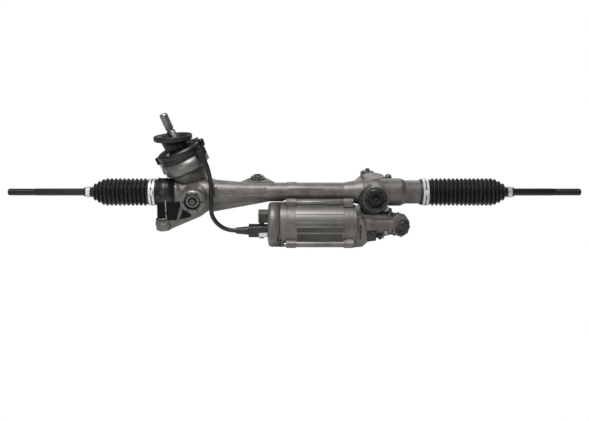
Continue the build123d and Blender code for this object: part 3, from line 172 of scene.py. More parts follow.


# The edge mask lightens sharp edges: partly wear, partly a painted highlight along them.
edges, given, result = group("Edge wear and highlight", {"Width": 0.0006, "Sharpness": 6.0},
                             {"Mask": "NodeSocketFloat", "Normal": "NodeSocketVector"})
rounded = wire(edges, "ShaderNodeBevel", samples=4, Radius=given.outputs["Width"])
true = wire(edges, "ShaderNodeNewGeometry")
same = wire(edges, "ShaderNodeVectorMath", operation="DOT_PRODUCT", _0=rounded.outputs[0],
            _1=true.outputs["Normal"])
apart = wire(edges, "ShaderNodeMath", operation="SUBTRACT", _0=1.0, _1=same.outputs["Value"])
strong = wire(edges, "ShaderNodeMath", operation="MULTIPLY", use_clamp=True, _0=apart.outputs[0],
              _1=given.outputs["Sharpness"])
place = wire(edges, "ShaderNodeTexCoord")
nick = wire(edges, "ShaderNodeTexNoise", Vector=place.outputs["Object"], Scale=420.0, Detail=3.0)
broken = wire(edges, "ShaderNodeMapRange", _0=nick.outputs["Fac"], _1=0.35, _2=0.65)
mask = wire(edges, "ShaderNodeMath", operation="MULTIPLY", _0=strong.outputs[0],
            _1=broken.outputs[0])
edges.links.new(mask.outputs[0], result.inputs["Mask"])
edges.links.new(rounded.outputs[0], result.inputs["Normal"])

grain, given, result = group("Grain", {"Fine": 1500.0, "Slow": 30.0, "Pits": 0.0, "Turned": 0.0},
                             {"Height": "NodeSocketFloat", "Blotch": "NodeSocketFloat"})
place = wire(grain, "ShaderNodeTexCoord")
fine = wire(grain, "ShaderNodeTexNoise", Vector=place.outputs["Object"], Scale=given.outputs["Fine"],
            Detail=4.0, Roughness=0.6)
slow = wire(grain, "ShaderNodeTexNoise", Vector=place.outputs["Object"], Scale=given.outputs["Slow"],
            Detail=6.0, Roughness=0.62)
pores = wire(grain, "ShaderNodeTexVoronoi", Vector=place.outputs["Object"], Scale=given.outputs["Fine"])
dip = wire(grain, "ShaderNodeMapRange", _0=pores.outputs["Distance"], _1=0.0, _2=0.35, _3=-1.0,
           _4=0.0)
deep = wire(grain, "ShaderNodeMath", operation="MULTIPLY_ADD", _0=dip.outputs[0],
            _1=given.outputs["Pits"], _2=fine.outputs["Fac"])
lathe = wire(grain, "ShaderNodeTexWave", wave_type="BANDS", bands_direction="X", wave_profile="SIN",
             Vector=place.outputs["Object"], Scale=260.0, Distortion=0.4)
lined = wire(grain, "ShaderNodeMath", operation="MULTIPLY_ADD", _0=lathe.outputs["Fac"],
             _1=given.outputs["Turned"], _2=deep.outputs[0])
grain.links.new(lined.outputs[0], result.inputs["Height"])
grain.links.new(slow.outputs["Fac"], result.inputs["Blotch"])


def finish(name, dark, light, rough, metal=0.0, fine=1500.0, slow=30.0, pits=0.0, depth=0.00012,
           wear_and_highlight=None, width=0.0006, turned=0.0, coat=0.0, shine=0.5):
    """Two shades mixed by slow blotches, under a fine grain, and bright edges, partly wear and partly
    painted highlight, where wear_and_highlight is a shade.
    """
    material, tree = blank(name)
    skin = wire(tree, "ShaderNodeGroup", node_tree=grain, Fine=fine, Slow=slow, Pits=pits, Turned=turned)
    rim = wire(tree, "ShaderNodeGroup", node_tree=edges, Width=width)
    spread = wire(tree, "ShaderNodeMapRange", _0=skin.outputs["Blotch"], _1=0.32, _2=0.68)
    body = wire(tree, "ShaderNodeMix", data_type="RGBA", _0=spread.outputs[0], _6=(*dark, 1),
                _7=(*light, 1))
    colour = body.outputs[2]
    if wear_and_highlight:
        colour = wire(tree, "ShaderNodeMix", data_type="RGBA", _0=rim.outputs["Mask"], _6=colour,
                      _7=(*wear_and_highlight, 1)).outputs[2]
    gloss = wire(tree, "ShaderNodeMapRange", _0=skin.outputs["Height"], _1=0.3, _2=0.75, _3=rough - 0.07,
                 _4=rough + 0.09)
    relief = wire(tree, "ShaderNodeBump", Strength=0.6, Distance=depth, Height=skin.outputs["Height"],
                  Normal=rim.outputs["Normal"])
    shader = wire(tree, "ShaderNodeBsdfPrincipled", Base_Color=colour, Metallic=metal,
                  Roughness=gloss.outputs[0], Normal=relief.outputs[0], Coat_Weight=coat,
                  Specular_IOR_Level=shine)
    wire(tree, "ShaderNodeOutputMaterial", Surface=shader.outputs[0])
    return material


looks = {
    "cast_aluminium": finish("cast_aluminium", (0.088, 0.082, 0.074), (0.185, 0.174, 0.158), 0.46,
                             metal=0.55, fine=900, slow=26, pits=0.35, depth=0.00025,
                             wear_and_highlight=(0.42, 0.40, 0.37)),
    "machined_aluminium": finish("machined_aluminium", (0.12, 0.115, 0.107), (0.20, 0.193, 0.18), 0.40,
                                 metal=0.6, fine=1600, slow=22, depth=0.0001, wear_and_highlight=(0.42, 0.41, 0.39)),
    "steel": finish("steel", (0.20, 0.195, 0.185), (0.38, 0.37, 0.35), 0.32, metal=1.0, turned=0.25,
                    depth=0.00006, wear_and_highlight=(0.6, 0.59, 0.57)),
    "black_steel": finish("black_steel", (0.004, 0.004, 0.0045), (0.011, 0.011, 0.012), 0.42, metal=0.2,
                          depth=0.0001, wear_and_highlight=(0.03, 0.03, 0.03)),
    "zinc": finish("zinc", (0.56, 0.57, 0.58), (0.70, 0.70, 0.70), 0.38, metal=0.5, slow=60, depth=0.00003,
                   wear_and_highlight=(0.8, 0.8, 0.8), width=0.0003),
    "dark_plug": finish("dark_plug", (0.020, 0.019, 0.018), (0.055, 0.053, 0.05), 0.4, metal=0.6,
                        depth=0.0001, wear_and_highlight=(0.22, 0.21, 0.2)),
    "rubber": finish("rubber", (0.0035, 0.0035, 0.004), (0.008, 0.008, 0.0085), 0.48, fine=2200,
                     depth=0.0001),
    "black_plastic": finish("black_plastic", (0.004, 0.004, 0.0045), (0.009, 0.009, 0.0095), 0.4,
                            fine=2600, pits=0.3, depth=0.00008, wear_and_highlight=(0.025, 0.025, 0.025)),
    "grey_plastic": finish("grey_plastic", (0.055, 0.055, 0.05), (0.10, 0.10, 0.092), 0.45, fine=2600,
                           pits=0.3, depth=0.00008),
    "nylon": finish("nylon", (0.52, 0.48, 0.38), (0.66, 0.61, 0.50), 0.45, depth=0.00008),
    "board": finish("board", (0.01, 0.09, 0.035), (0.02, 0.16, 0.06), 0.35, fine=900, depth=0.00006),
    "winding": finish("winding", (0.35, 0.13, 0.06), (0.6, 0.25, 0.12), 0.35, metal=0.9, depth=0.0001),
}
for part in frame["record"]["subparts"]:
    shell = frame["nodes"][part["node"]]
    for number in range(len(shell.data.materials)):
        shell.data.materials[number] = looks[part["material_slot"]]
line.materials.append(looks["rubber"])

# ---- Bellows -----------------------------------------------------------------------------------
# The boots are blown rubber, clamped to the housing and to the tie rods. Each is cut into a large cuff
# with the folds, two short pieces beside the rod's ball, and the small cuff, which rides on the rod.
def sheet_mesh(name, grid, slot, wrap=(True, True), look=None):
    """A closed mesh over grid[i, j] = (x, y, z), joined end to end along each wrapped direction."""
    rows, columns = grid.shape[:2]
    i, j = np.meshgrid(np.arange(rows if wrap[0] else rows - 1),
                       np.arange(columns if wrap[1] else columns - 1), indexing="ij")
    corner = [((i + a) % rows) * columns + (j + b) % columns
              for a, b in ((0, 0), (1, 0), (1, 1), (0, 1))]
    mesh = bpy.data.meshes.new(name)
    mesh.from_pydata(grid.reshape(-1, 3).tolist(), [], np.stack(corner, -1).reshape(-1, 4).tolist())
    shape = bmesh.new()
    shape.from_mesh(mesh)
    if not all(wrap):
        bmesh.ops.holes_fill(shape, edges=shape.edges)
    bmesh.ops.recalc_face_normals(shape, faces=shape.faces)
    shape.to_mesh(mesh)
    shape.free()
    mesh.shade_smooth()
    piece = bpy.data.objects.new(name, mesh)
    bpy.context.scene.collection.objects.link(piece)
    mesh.materials.append(looks[slot] if look is None else look)
    return piece


def ring(name, loop, slot, around=128):
    """(x, R cos t, R sin t) for the closed outline loop of (x, R) pairs in mm from the rack's centre."""
    x, radius = np.array(loop, float).T / 1000
    turn = np.linspace(0, 2 * pi, around, endpoint=False)
    grid = np.stack([np.repeat(x[:, None], around, 1), radius[:, None] * np.cos(turn),
                     radius[:, None] * np.sin(turn)], -1) + CENTRE
    return sheet_mesh(name, grid, slot)


CREST, VALLEY, WALL, PITCH = 29.0, 23.0, 1.6, 9.0
CUFF_R, CUFF, NECK_R, SMALL_R = 27.0, 21.0, 24.5, 9.9
ROD_HOLE, FOLD_START, TAIL, TAPER, LAST_CREST = 7.8, 1.5, 18, 3.2 * PITCH, 15


def fold_radius(d, neck, far):
    """Outer radius at d: valley + (crest - valley) (0.5 - 0.5 cos 2 pi n)^0.8, tapered at the end."""
    first, last = neck + FOLD_START, far - TAIL
    folds = round((last - first) / PITCH)
    wave = (0.5 - 0.5 * np.cos(2 * pi * folds * (d - first) / (last - first))) ** 0.8
    share = np.clip((d - last + TAPER) / TAPER, 0, 1)
    low = VALLEY - (VALLEY - SMALL_R - 0.5) * share
    high = CREST - (CREST - LAST_CREST) * share ** 1.4
    return low + (high - low) * wave


for side, name, neck, far, stretch, lean, swing, end in (
        (-1, "left", 308, 442, 300, 410, 418, 424), (1, "right", 284, 461, 276, 428, 436, 443)):
    spans = (("folds", neck + FOLD_START, lean, "housing", "rack", stretch, lean),
             ("lean", lean, swing, "rack", f"race_{name}", lean, swing),
             ("swing", swing, end, f"race_{name}", f"rod_{name}", swing, end))
    for part, low, high, a, b, start, stop in spans:
        d = np.linspace(low, high, 1 + 2 * int(12 * (high - low) / PITCH))
        r = fold_radius(d, neck, far)
        outer = list(zip(d, r))
        inner = list(zip(d[::-1], r[::-1] - WALL))
        if part == "folds":
            outer = [(neck - CUFF, CUFF_R - 0.4), (neck - CUFF + 0.5, CUFF_R), (neck - 0.8, CUFF_R),
                     (neck, CUFF_R - 0.6)] + outer
            inner = inner + [(neck + 0.3, NECK_R), (neck - CUFF, NECK_R)]
        boot = ring(f"bellows_{name}_{part}", [(side * x, r) for x, r in outer + inner], "rubber")
        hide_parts(f"bellows_{name}")
        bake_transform(boot)
    d = np.linspace(end, far - TAIL + 1, 24)
    r = fold_radius(np.minimum(d, far - TAIL), neck, far)
    outer = list(zip(d, r)) + [(far - TAIL + 2, SMALL_R), (far - 0.6, SMALL_R), (far, SMALL_R - 0.5)]
    inner = [(far, ROD_HOLE), (far - TAIL - 3, ROD_HOLE), (end, fold_radius(end, neck, far) - WALL)]
    cuff = ring(f"bellows_{name}_cuff", [(side * x, r) for x, r in outer + inner], "rubber")
    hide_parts(f"bellows_{name}")
    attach(cuff, f"rod_{name}")

# ---- Clamp bands ---------------------------------------------------------------------------------
# The large clamps are bright plated steel bands with two rolled beads, drawn tight over the boots.
# Each gets a dark ring painted in the hollow between its beads as shade, and the round crimp on its front.
def spun(name, loop, slot, origin=(0, 0, 0), axis=(1, 0, 0), aside=(0, -1, 0), around=96,
         body="housing"):
    """origin + s axis + R (aside cos t + side sin t) for the closed outline loop of (R, s) pairs in mm."""
    radius, along = np.array(loop, float).T
    axis, aside = (np.array(v, float) / np.linalg.norm(v) for v in (axis, aside))
    turn = np.linspace(0, 2 * pi, around, endpoint=False)
    out = np.cos(turn)[:, None] * aside + np.sin(turn)[:, None] * np.cross(axis, aside)
    grid = np.array(origin) + along[:, None, None] * axis + radius[:, None, None] * out
    piece = sheet_mesh(name, grid / 1000 + CENTRE, slot)
    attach(piece, body)
    return piece


def band(near, far, low, high):
    """The four corners between near and far, and between low and high."""
    return [(near, low), (far, low), (far, high), (near, high)]


CORE = 0.05  # radius at which a turned piece closes on its own axis
for side, name, middle in ((-1, "left", 297.5), (1, "right", 273.5)):
    at = side * middle
    # Painted shade: a dark ring between the beads.
    spun(f"clamp_{name}_groove_shade", band(27.6, 28.6, at - 0.9, at + 0.9), "dark_plug")
    spun(f"clamp_{name}_crimp", [(CORE, 0), (3.3, 0), (3.6, 1), (3.0, 2.2), (CORE, 2.6)], "zinc",
         origin=(at, -28.0, 5.5), axis=(0, -1, 0.18), aside=(1, 0, 0), around=32)

# ---- Tie-rod threads -----------------------------------------------------------------------------
# The rods are black steel with a fine right-hand thread rolled on their last 52 mm, where the outer
# joints screw on.
THREAD_START, THREAD_END = 549, 600.5


def thread(name, start, end, slot, body, root=6.9, crest=7.35, pitch=1.5, steps=6, around=48):
    """(x, R cos t, R sin t), R = root + (crest - root) |tri(x / pitch - t / 2 pi)|, closed inside."""
    x = np.arange(start, end, pitch / steps)
    turn = np.linspace(0, 2 * pi, around, endpoint=False)
    phase = (x[:, None] / pitch - turn / (2 * pi)) % 1
    radius = root + (crest - root) * (1 - np.abs(2 * phase - 1))
    radius[[0, -1]] = root
    hidden = np.full((1, around), root - 1.5)
    radius, x = np.vstack([hidden, radius, hidden]), np.r_[x[0], x, x[-1]]
    grid = np.stack([np.repeat(x[:, None], around, 1), radius * np.cos(turn), radius * np.sin(turn)], -1)
    piece = sheet_mesh(name, grid / 1000 + CENTRE, slot)
    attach(piece, body)


thread("thread_left", -THREAD_END, -THREAD_START, "black_steel", "rod_left")
thread("thread_right", THREAD_START, THREAD_END, "black_steel", "rod_right")

# ---- Casting details: sleeve, webs and marks ------------------------------------------------------
# The housing is an aluminium casting with webs, an arm and a knob beside the tube, rings at the right
# boss and the left mount, and the mould's parting line, ticks and pads on the tube. A black plastic
# sleeve with two bands, a clip and an apron is pushed on over the left neck; flat black sheets beside it
# paint the shade on the casting web and in the pocket behind its rib.
LEFT_MOUNT, RIGHT_BOSS = (-276, -20, 0), (158, 58, 0)
FORWARD = {"axis": (0, -1, 0), "aside": (1, 0, 0)}
UPRIGHT = {"axis": (0, 0, 1), "aside": (1, 0, 0)}
SLEEVE_END, APRON_END = -286.5, -238.6  # x of the sleeve's left end and the apron's right corner
# Flat black with little shine: the apron's own black plastic, and painted shade where the same black covers
# the web and the pocket.
black_and_painted_shade = finish("black_and_painted_shade", (0.002, 0.002, 0.0025), (0.006, 0.006, 0.0065), 0.5, fine=2200,
                    depth=0.0001, shine=0.12)


def solid(name, outline, low, high, slot, u=(1, 0, 0), v=(0, 0, 1), origin=(0, 0, 0), soft=0.5,
          body="housing", look=None):
    """origin + a u + b v + s (u x v) for (a, b) on the outline and s from low to high, soft-edged."""
    u, v, origin = (np.array(w, float) for w in (u, v, origin))
    a, b = np.array(outline, float).T
    flat = origin + a[:, None] * u + b[:, None] * v
    grid = np.stack([flat + s * np.cross(u, v) for s in (low, high)], 1)
    piece = sheet_mesh(name, grid / 1000 + CENTRE, slot, wrap=(True, False), look=look)
    piece.data.shade_flat()
    bevel = piece.modifiers.new("soft", "BEVEL")
    bevel.width, bevel.segments, bevel.limit_method = soft / 1000, 2, "ANGLE"
    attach(piece, body)


def rib(foot, tip, half):
    """The outline of a rib between two (x, z) points, half its width to either side in x."""
    (ax, az), (bx, bz) = foot, tip
    return [(ax - half, az), (bx - half, bz), (bx + half, bz), (ax + half, az)]


spun("neck_sleeve", [(24.6, SLEEVE_END), (28.2, SLEEVE_END), (29.4, -285.5), (29.4, -249), (29.05, -249),
                     (29.05, -262), (24.6, -262)], "black_plastic")
for number, at in enumerate((-283.5, -268)):
    spun(f"sleeve_band_{number}", [(29.3, at - 1.3), (30.3, at - 1), (30.3, at + 1), (29.3, at + 1.3)],
         "rubber")
spun("sleeve_edge", [(29, -248.9), (30.2, -248.7), (30.2, -247.5), (29, -247.3)], "cast_aluminium")
solid("sleeve_apron", [(SLEEVE_END, -25.2), (-288, -53), (-246, -54), (APRON_END, -25.2)], 9, 26.5,
      "rubber", soft=0.4, look=black_and_painted_shade)
# The front sheet runs on past the sleeve over the casting web: painted shade there.
solid("sleeve_face", [(SLEEVE_END, -3), (SLEEVE_END, -25.6), (APRON_END, -25.6), (-231.5, 0), (-243, 6)],
      24.9, 26.5, "rubber", soft=0.4, look=black_and_painted_shade)
# A flat black sheet painted as the shadow in the pocket behind the rib.
solid("case_pocket_shadow", [(-241, -52), (-216, -45), (-222, -34), (-230, -21)], 22, 27.2, "rubber", soft=0.3,
      look=black_and_painted_shade)
# A raised strip whose bright zinc paints the highlight along the seam line on the apron.
solid("apron_seam_highlight", [(-268.5, -4), (-268.5, -48), (-267.5, -48), (-267.5, -4)], 26, 29.6, "zinc",
      soft=0.3)
spun("seam_stud", [(CORE, 31), (1.8, 30.5), (2.4, 29), (2.4, 26), (CORE, 26)], "dark_plug",
     origin=(-268.3, 0, -36), around=24, **FORWARD)
solid("sleeve_clip", [(-286, -3), (-286, 2.5), (-277, 3.5), (-277, -4)], 29, 32.5, "black_plastic",
      soft=0.8)
for number, (foot, tip, low, high) in enumerate((((-231, -3), (-246, -54), 24, 29),
                                                 ((-243, 26), (-231, 2), 20, 30.5))):
    solid(f"case_rib_{number}", rib(foot, tip, 1.3), low, high, "cast_aluminium", soft=0.7)
for number, (x, y, high) in enumerate(((-79, 38, 18), (158, 58, 16))):
    solid(f"boss_web_{number}", [(x - 37, 14.4), (x - 13, y + 10), (x + 13, y + 10), (x + 37, 14.4)], 2,
          high, "cast_aluminium", v=(0, 1, 0), soft=1.5)
solid("knob_arm", [(160, 15), (166, 66), (200, 62), (216, 46), (232, 15)], 2, 12, "cast_aluminium",
      v=(0, 1, 0), soft=2)
spun("knob", [(CORE, 22.5), (4.5, 21.5), (7, 18.5), (7.6, 14), (7.6, 6), (CORE, 6)], "cast_aluminium",
     origin=(203, 52, 0), around=40, **UPRIGHT)
spun("boss_washer", [(8.3, 25.5), (14, 25.5), (14.9, 24.5), (14.9, 19), (8.3, 19)], "dark_plug",
     origin=RIGHT_BOSS, around=64, **UPRIGHT)
spun("mount_ring", [(6.5, -48.4), (11.4, -48.4), (12.2, -49.2), (12.2, -53), (6.5, -53)],
     "machined_aluminium", origin=LEFT_MOUNT, around=64, **UPRIGHT)
spun("mount_flange", [(12, -58), (16.2, -58), (17, -59), (17, -66), (16, -67.5), (12, -67.5)],
     "cast_aluminium", origin=LEFT_MOUNT, around=64, **UPRIGHT)
spun("boss_stud", [(CORE, 33), (3.6, 33), (4.4, 32), (4.4, 27.5), (7.5, 27.5), (7.5, 24), (CORE, 24)],
     "dark_plug", origin=RIGHT_BOSS, around=6, **UPRIGHT)


def tube_radius(x):
    """The tube's outer radius in mm at x: it tapers from 26 at -166 to 20 at -95."""
    return np.interp(x, (-166, -95), (26, 20))


def patch(name, x, angle, height, slot):
    """(x, -R cos a, R sin a), R = tube radius + height, over a grid of x and a, with a floor under it."""
    xs, angles = np.meshgrid(x, np.radians(angle), indexing="ij")
    top = tube_radius(xs) + height
    rim = np.zeros_like(top, bool)
    rim[[0, -1]], rim[:, [0, -1]] = True, True
    radius = np.where(rim, tube_radius(xs) - 1, top)
    skin = np.stack([xs, -radius * np.cos(angles), radius * np.sin(angles)], -1)
    mesh = sheet_mesh(name, skin / 1000 + CENTRE, slot, wrap=(False, False))
    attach(mesh, "housing")


def dashes(x, spacing, edge, tall, sunk=-0.6):
    """A column of heights: tall where cos(2 pi x / spacing) is over the edge, and sunk between."""
    return np.where(np.cos(2 * pi * x / spacing) > edge, tall, sunk)[:, None]


x = np.linspace(-10, 61, 427)
# The raised ticks are near-black rubber: painted shade for the shadows of the embossed marks.
patch("foundry_ticks", x, np.linspace(31, 46, 9), dashes(x, 4.44, 0.1, 0.9), "rubber")
x = np.linspace(-165, 100, 200)
patch("parting_line", x, np.linspace(0, 3, 5), dashes(x, 19, -0.55, 0.7), "machined_aluminium")
patch("name_pad", np.linspace(-122, -58, 40), np.linspace(36, 54, 7), 0.7, "cast_aluminium")
patch("top_pad", np.linspace(-17, 5, 20), np.linspace(78, 112, 9), 1.4, "cast_aluminium")
solid("tube_key", [(-163, -6), (-166, 20), (-160, 20), (-157, -6)], 22, 27.5, "cast_aluminium", soft=1)

# ---- Steering tower: band, cap, screws, seal and shaft ---------------------------------------------
# A turned aluminium band and a moulded black cap are held on the cast tower by two screws. The
# moulded rubber seal sits on the cap, with a fluted neck and a deep rolled rim, and the splined steel
# shaft and its key stand up inside it.
UP = np.array((-0.35837, 0, 0.93358))
ACROSS = np.array((0.93358, 0, 0.35837))
SIDE = np.array((0, 1, 0))
TOWER = np.array((-207.5, 18.498, 0))
TILTED = {"axis": UP, "aside": ACROSS}
spun("sensor_band", [(37.3, 50.5), (45, 50.5), (46.4, 52), (46.4, 79), (46.05, 79), (46.05, 63.5),
                     (37.3, 62)], "machined_aluminium", origin=TOWER, around=160, **TILTED)
spun("cap_skirt", [(46.1, 79.2), (47.2, 79.2), (47.6, 80), (47.6, 85.5), (46.9, 86), (46.9, 87),
                   (47.6, 87.5), (47.6, 95), (46.6, 96.5), (46.1, 96.5)], "black_plastic", origin=TOWER,
     around=160, **TILTED)
spun("tower_shoulder", [(25, 12), (31, 16), (35, 28), (38.5, 40), (38.5, 50.3), (36, 50.3), (25, 30)],
     "cast_aluminium", origin=TOWER, around=120, **TILTED)
SCREW_CIRCLE, SCREW_FOOT = 49.6, 54
for name, way, top in (("left", -1, 92), ("right", 1, 97)):
    foot = TOWER + way * SCREW_CIRCLE * ACROSS
    spun(f"cap_screw_{name}", [(CORE, top + 1.5), (5.4, top + 1.5), (6.4, top), (6.4, top - 6.5),
                               (CORE, top - 6.5)], "black_steel", origin=foot, around=32, **TILTED)
    spun(f"cap_shank_{name}", [(CORE, top - 6), (2.5, top - 6), (2.5, SCREW_FOOT), (CORE, SCREW_FOOT)],
         "zinc", origin=foot, around=24, **TILTED)
    ends = sorted((-way * (top - 13), -way * (top - 6.6)))
    solid(f"cap_ear_{name}", [(-7.5, -9), (7.5, -9), (5.5, 5), (-5.5, 5)], *ends, "black_plastic",
          u=SIDE, v=way * ACROSS, origin=foot, soft=1)

FLUTES, FLUTE_DEPTH, RIM_X = 14, 0.9, -252.5
LOW, HIGH = TOWER + 98.3 * UP, np.array((RIM_X, TOWER[1], 106))
climb = np.linspace(0, 1, 28)
seal_turn = np.linspace(0, 2 * pi, 192, endpoint=False)


def hose(share, radius):
    """(1 - s) low + s high + R (lean cos t + side sin t), where the lean goes from across to level."""
    share = share[:, None, None]
    lean = (1 - share) * ACROSS + share * np.array((1, 0, 0))
    out = np.cos(seal_turn)[:, None] * lean + np.sin(seal_turn)[:, None] * SIDE
    return (1 - share) * LOW + share * HIGH + radius[..., None] * out


flute = FLUTE_DEPTH * np.sin(pi * climb)[:, None] * np.cos(FLUTES * seal_turn)
outside = np.interp(climb, (0, 0.08, 0.2, 0.8, 1), (31, 29, 25.5, 25.5, 27.5))[:, None] + flute
bore = np.interp(climb[::-1], (0, 0.3, 1), (23, 22, 24.8))[:, None]
rim = np.array([(31, 102.5), (37.5, 103), (39.6, 104.5), (39.9, 108), (39.9, 112.5), (39, 113.8), (37, 114),
                (33, 112.8), (29.5, 110), (27, 105)])
tipped = (np.cos(seal_turn)[:, None] * np.array((1, 0, 0.07))
          + np.sin(seal_turn)[:, None] * np.array((0, 1, -0.12)))
level = (np.array((RIM_X, TOWER[1], 5)) + rim[:, 1, None, None] * np.array((0, 0, 1))
         + rim[:, 0, None, None] * tipped)
sheets = np.concatenate([hose(climb, outside), level, hose(climb[::-1], bore)])
seal = sheet_mesh("bulkhead_boot", sheets / 1000 + CENTRE, "rubber")
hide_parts("bulkhead_seal")
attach(seal, "housing")

TEETH, TOOTH_R, TOOTH_DEPTH, SHAFT_CORE = 36, 7.9, 0.55, 6.0
SPLINE_START, SPLINE_END = 141.3, 173.6
x = np.linspace(SPLINE_START, SPLINE_END, 24)
turn = np.linspace(0, 2 * pi, 8 * TEETH, endpoint=False)
tooth = TOOTH_R + TOOTH_DEPTH * np.clip(1.6 * np.cos(TEETH * turn), -1, 1)
chamfer = np.interp(x, (SPLINE_START, 142, 172.8, SPLINE_END), (0.9, 1, 1, 0.93))
hidden = np.full((1, len(turn)), SHAFT_CORE)
radius = np.vstack([hidden, chamfer[:, None] * tooth, hidden])
along = np.r_[x[0], x, x[-1]]
grid = (TOWER + along[:, None, None] * UP
        + radius[..., None] * (np.cos(turn)[:, None] * ACROSS + np.sin(turn)[:, None] * SIDE))
spline_skin = sheet_mesh("shaft_spline", grid / 1000 + CENTRE, "steel")
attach(spline_skin, "input")
solid("shaft_key", [(1.5, 112), (1.5, 134), (4, 138), (7.6, 136), (7.6, 112)], 5, 9.6, "zinc", u=ACROSS,
      v=UP, origin=TOWER, soft=0.6, body="input")

# ---- Yoke plugs ------------------------------------------------------------------------------------
# The yoke plugs are turned metal caps screwed into the casting. The stepped rings on their faces
# follow the distance from each plug's own axis; the near-black rings among them are painted shade in
# the faces' grooves.
PLUG_REACH = 26  # mm, the radius at the far end of the scale of shades


def plug_look(name, x, shades):
    """A turned face whose shade steps outwards from the line at x; shades are (radius in mm, grey)."""
    material, tree = blank(name)
    spot = wire(tree, "ShaderNodeTexCoord")
    away = wire(tree, "ShaderNodeVectorMath", operation="SUBTRACT", _0=spot.outputs["Object"],
                _1=(CENTRE[0] + x / 1000, 0, CENTRE[2]))
    flat = wire(tree, "ShaderNodeVectorMath", operation="MULTIPLY", _0=away.outputs[0], _1=(1, 0, 1))
    far = wire(tree, "ShaderNodeVectorMath", operation="LENGTH", _0=flat.outputs[0])
    reach = wire(tree, "ShaderNodeMath", operation="MULTIPLY", _0=far.outputs["Value"],
                 _1=1000 / PLUG_REACH)
    rings = wire(tree, "ShaderNodeValToRGB", _0=reach.outputs[0])
    ramp = rings.color_ramp
    ramp.interpolation = "LINEAR"
    for number, (where, grey) in enumerate(shades):
        stop = ramp.elements[number] if number < 2 else ramp.elements.new(where / PLUG_REACH)
        stop.position, stop.color = where / PLUG_REACH, (grey, grey * 0.96, grey * 0.9, 1)
    skin = wire(tree, "ShaderNodeGroup", node_tree=grain, Fine=1400.0, Slow=90.0)
    edge = wire(tree, "ShaderNodeGroup", node_tree=edges, Width=0.0005)
    lines = wire(tree, "ShaderNodeTexWave", wave_type="RINGS", rings_direction="Y",
                 Vector=away.outputs[0], Scale=320.0, Distortion=0.3)
    tint = wire(tree, "ShaderNodeMix", data_type="RGBA", blend_type="MULTIPLY", _0=0.55,
                _6=rings.outputs[0], _7=skin.outputs["Blotch"])
    # Edges lightened as wear and as a painted highlight.
    wear_and_highlight = wire(tree, "ShaderNodeMix", data_type="RGBA", _0=edge.outputs["Mask"], _6=tint.outputs[2],
                _7=(0.3, 0.29, 0.27, 1))
    relief = wire(tree, "ShaderNodeBump", Strength=0.4, Distance=0.0001, Height=lines.outputs["Fac"],
                  Normal=edge.outputs["Normal"])
    gloss = wire(tree, "ShaderNodeMapRange", _0=skin.outputs["Blotch"], _1=0.3, _2=0.7, _3=0.34, _4=0.5)
    shader = wire(tree, "ShaderNodeBsdfPrincipled", Base_Color=wear_and_highlight.outputs[2], Metallic=0.6,
                  Roughness=gloss.outputs[0], Normal=relief.outputs[0])
    wire(tree, "ShaderNodeOutputMaterial", Surface=shader.outputs[0])
    return material


left_face = plug_look("left_plug_face", TOWER[0],
                      ((0, 0.02), (2, 0.22), (4.5, 0.2), (5.5, 0.004), (9, 0.005), (10, 0.26),
                       (12.5, 0.22), (13.8, 0.004), (16.5, 0.01), (18, 0.2), (21, 0.16), (23, 0.34)))
right_face = plug_look("right_plug_face", 167.0,
                       ((0, 0.005), (2, 0.05), (4.5, 0.04), (5.5, 0.004), (9, 0.004), (10, 0.03),
                        (13, 0.025), (14.5, 0.005), (17, 0.012), (18.5, 0.04), (21, 0.03), (23, 0.06)))
frame["nodes"]["steering_yoke_plug"].data.materials[0] = left_face
frame["nodes"]["assist_yoke_plug"].data.materials[0] = right_face

# ---- Motor and controller ----------------------------------------------------------------------------
# The motor is a ribbed can with a tie bar between end blocks, and a rounded cast cap with two seams
# closes the controller. Beyond it are the gearbox's ribbed lower case, cast and bolted on, and the
# flange plate, a dark strip painted as the shade in its slot, the clip, the end knob and a black ring
# painted as the shadow round the right plug on its front.
MOTOR, MOTOR_R, BAR_CIRCLE = np.array((0, -29.7, -61.5)), 45.6, 51.5


def outward(degree):
    """The direction away from the motor's axis, that many degrees above the front."""
    return np.array((0, -cos(radians(degree)), sin(radians(degree))))


cap = spun("controller_cap", [(CORE, -55), (38, -55), (43, -54), (45.7, -51.6), (46.9, -47.5),
                              (46.9, -29.2), (43, -29.2), (43, -44), (39, -50), (CORE, -51)],
           "cast_aluminium", origin=MOTOR, around=160)
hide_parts("controller_cover")
for number, (at, slot) in enumerate(((-29.5, "dark_plug"), (-15.5, "cast_aluminium"))):
    spun(f"cap_seam_{number}", band(46.8, 47.4, at - 0.5, at + 0.5), slot, origin=MOTOR)
# The ribs carry the light steel finish so they show as the bright lines on the can: a painted highlight on
# them.
for number, (degree, tall, wide) in enumerate(((74, 3.2, 0.9), (16, 4.2, 0.7), (-27, 4.2, 0.9),
                                               (-42, 2.6, 2.2))):
    out = outward(degree)
    solid(f"motor_rib_{number}", band(4, 100, -wide, wide), 0, tall, "steel",
          v=-np.cross((1, 0, 0), out), origin=MOTOR + out * MOTOR_R, soft=0.3)
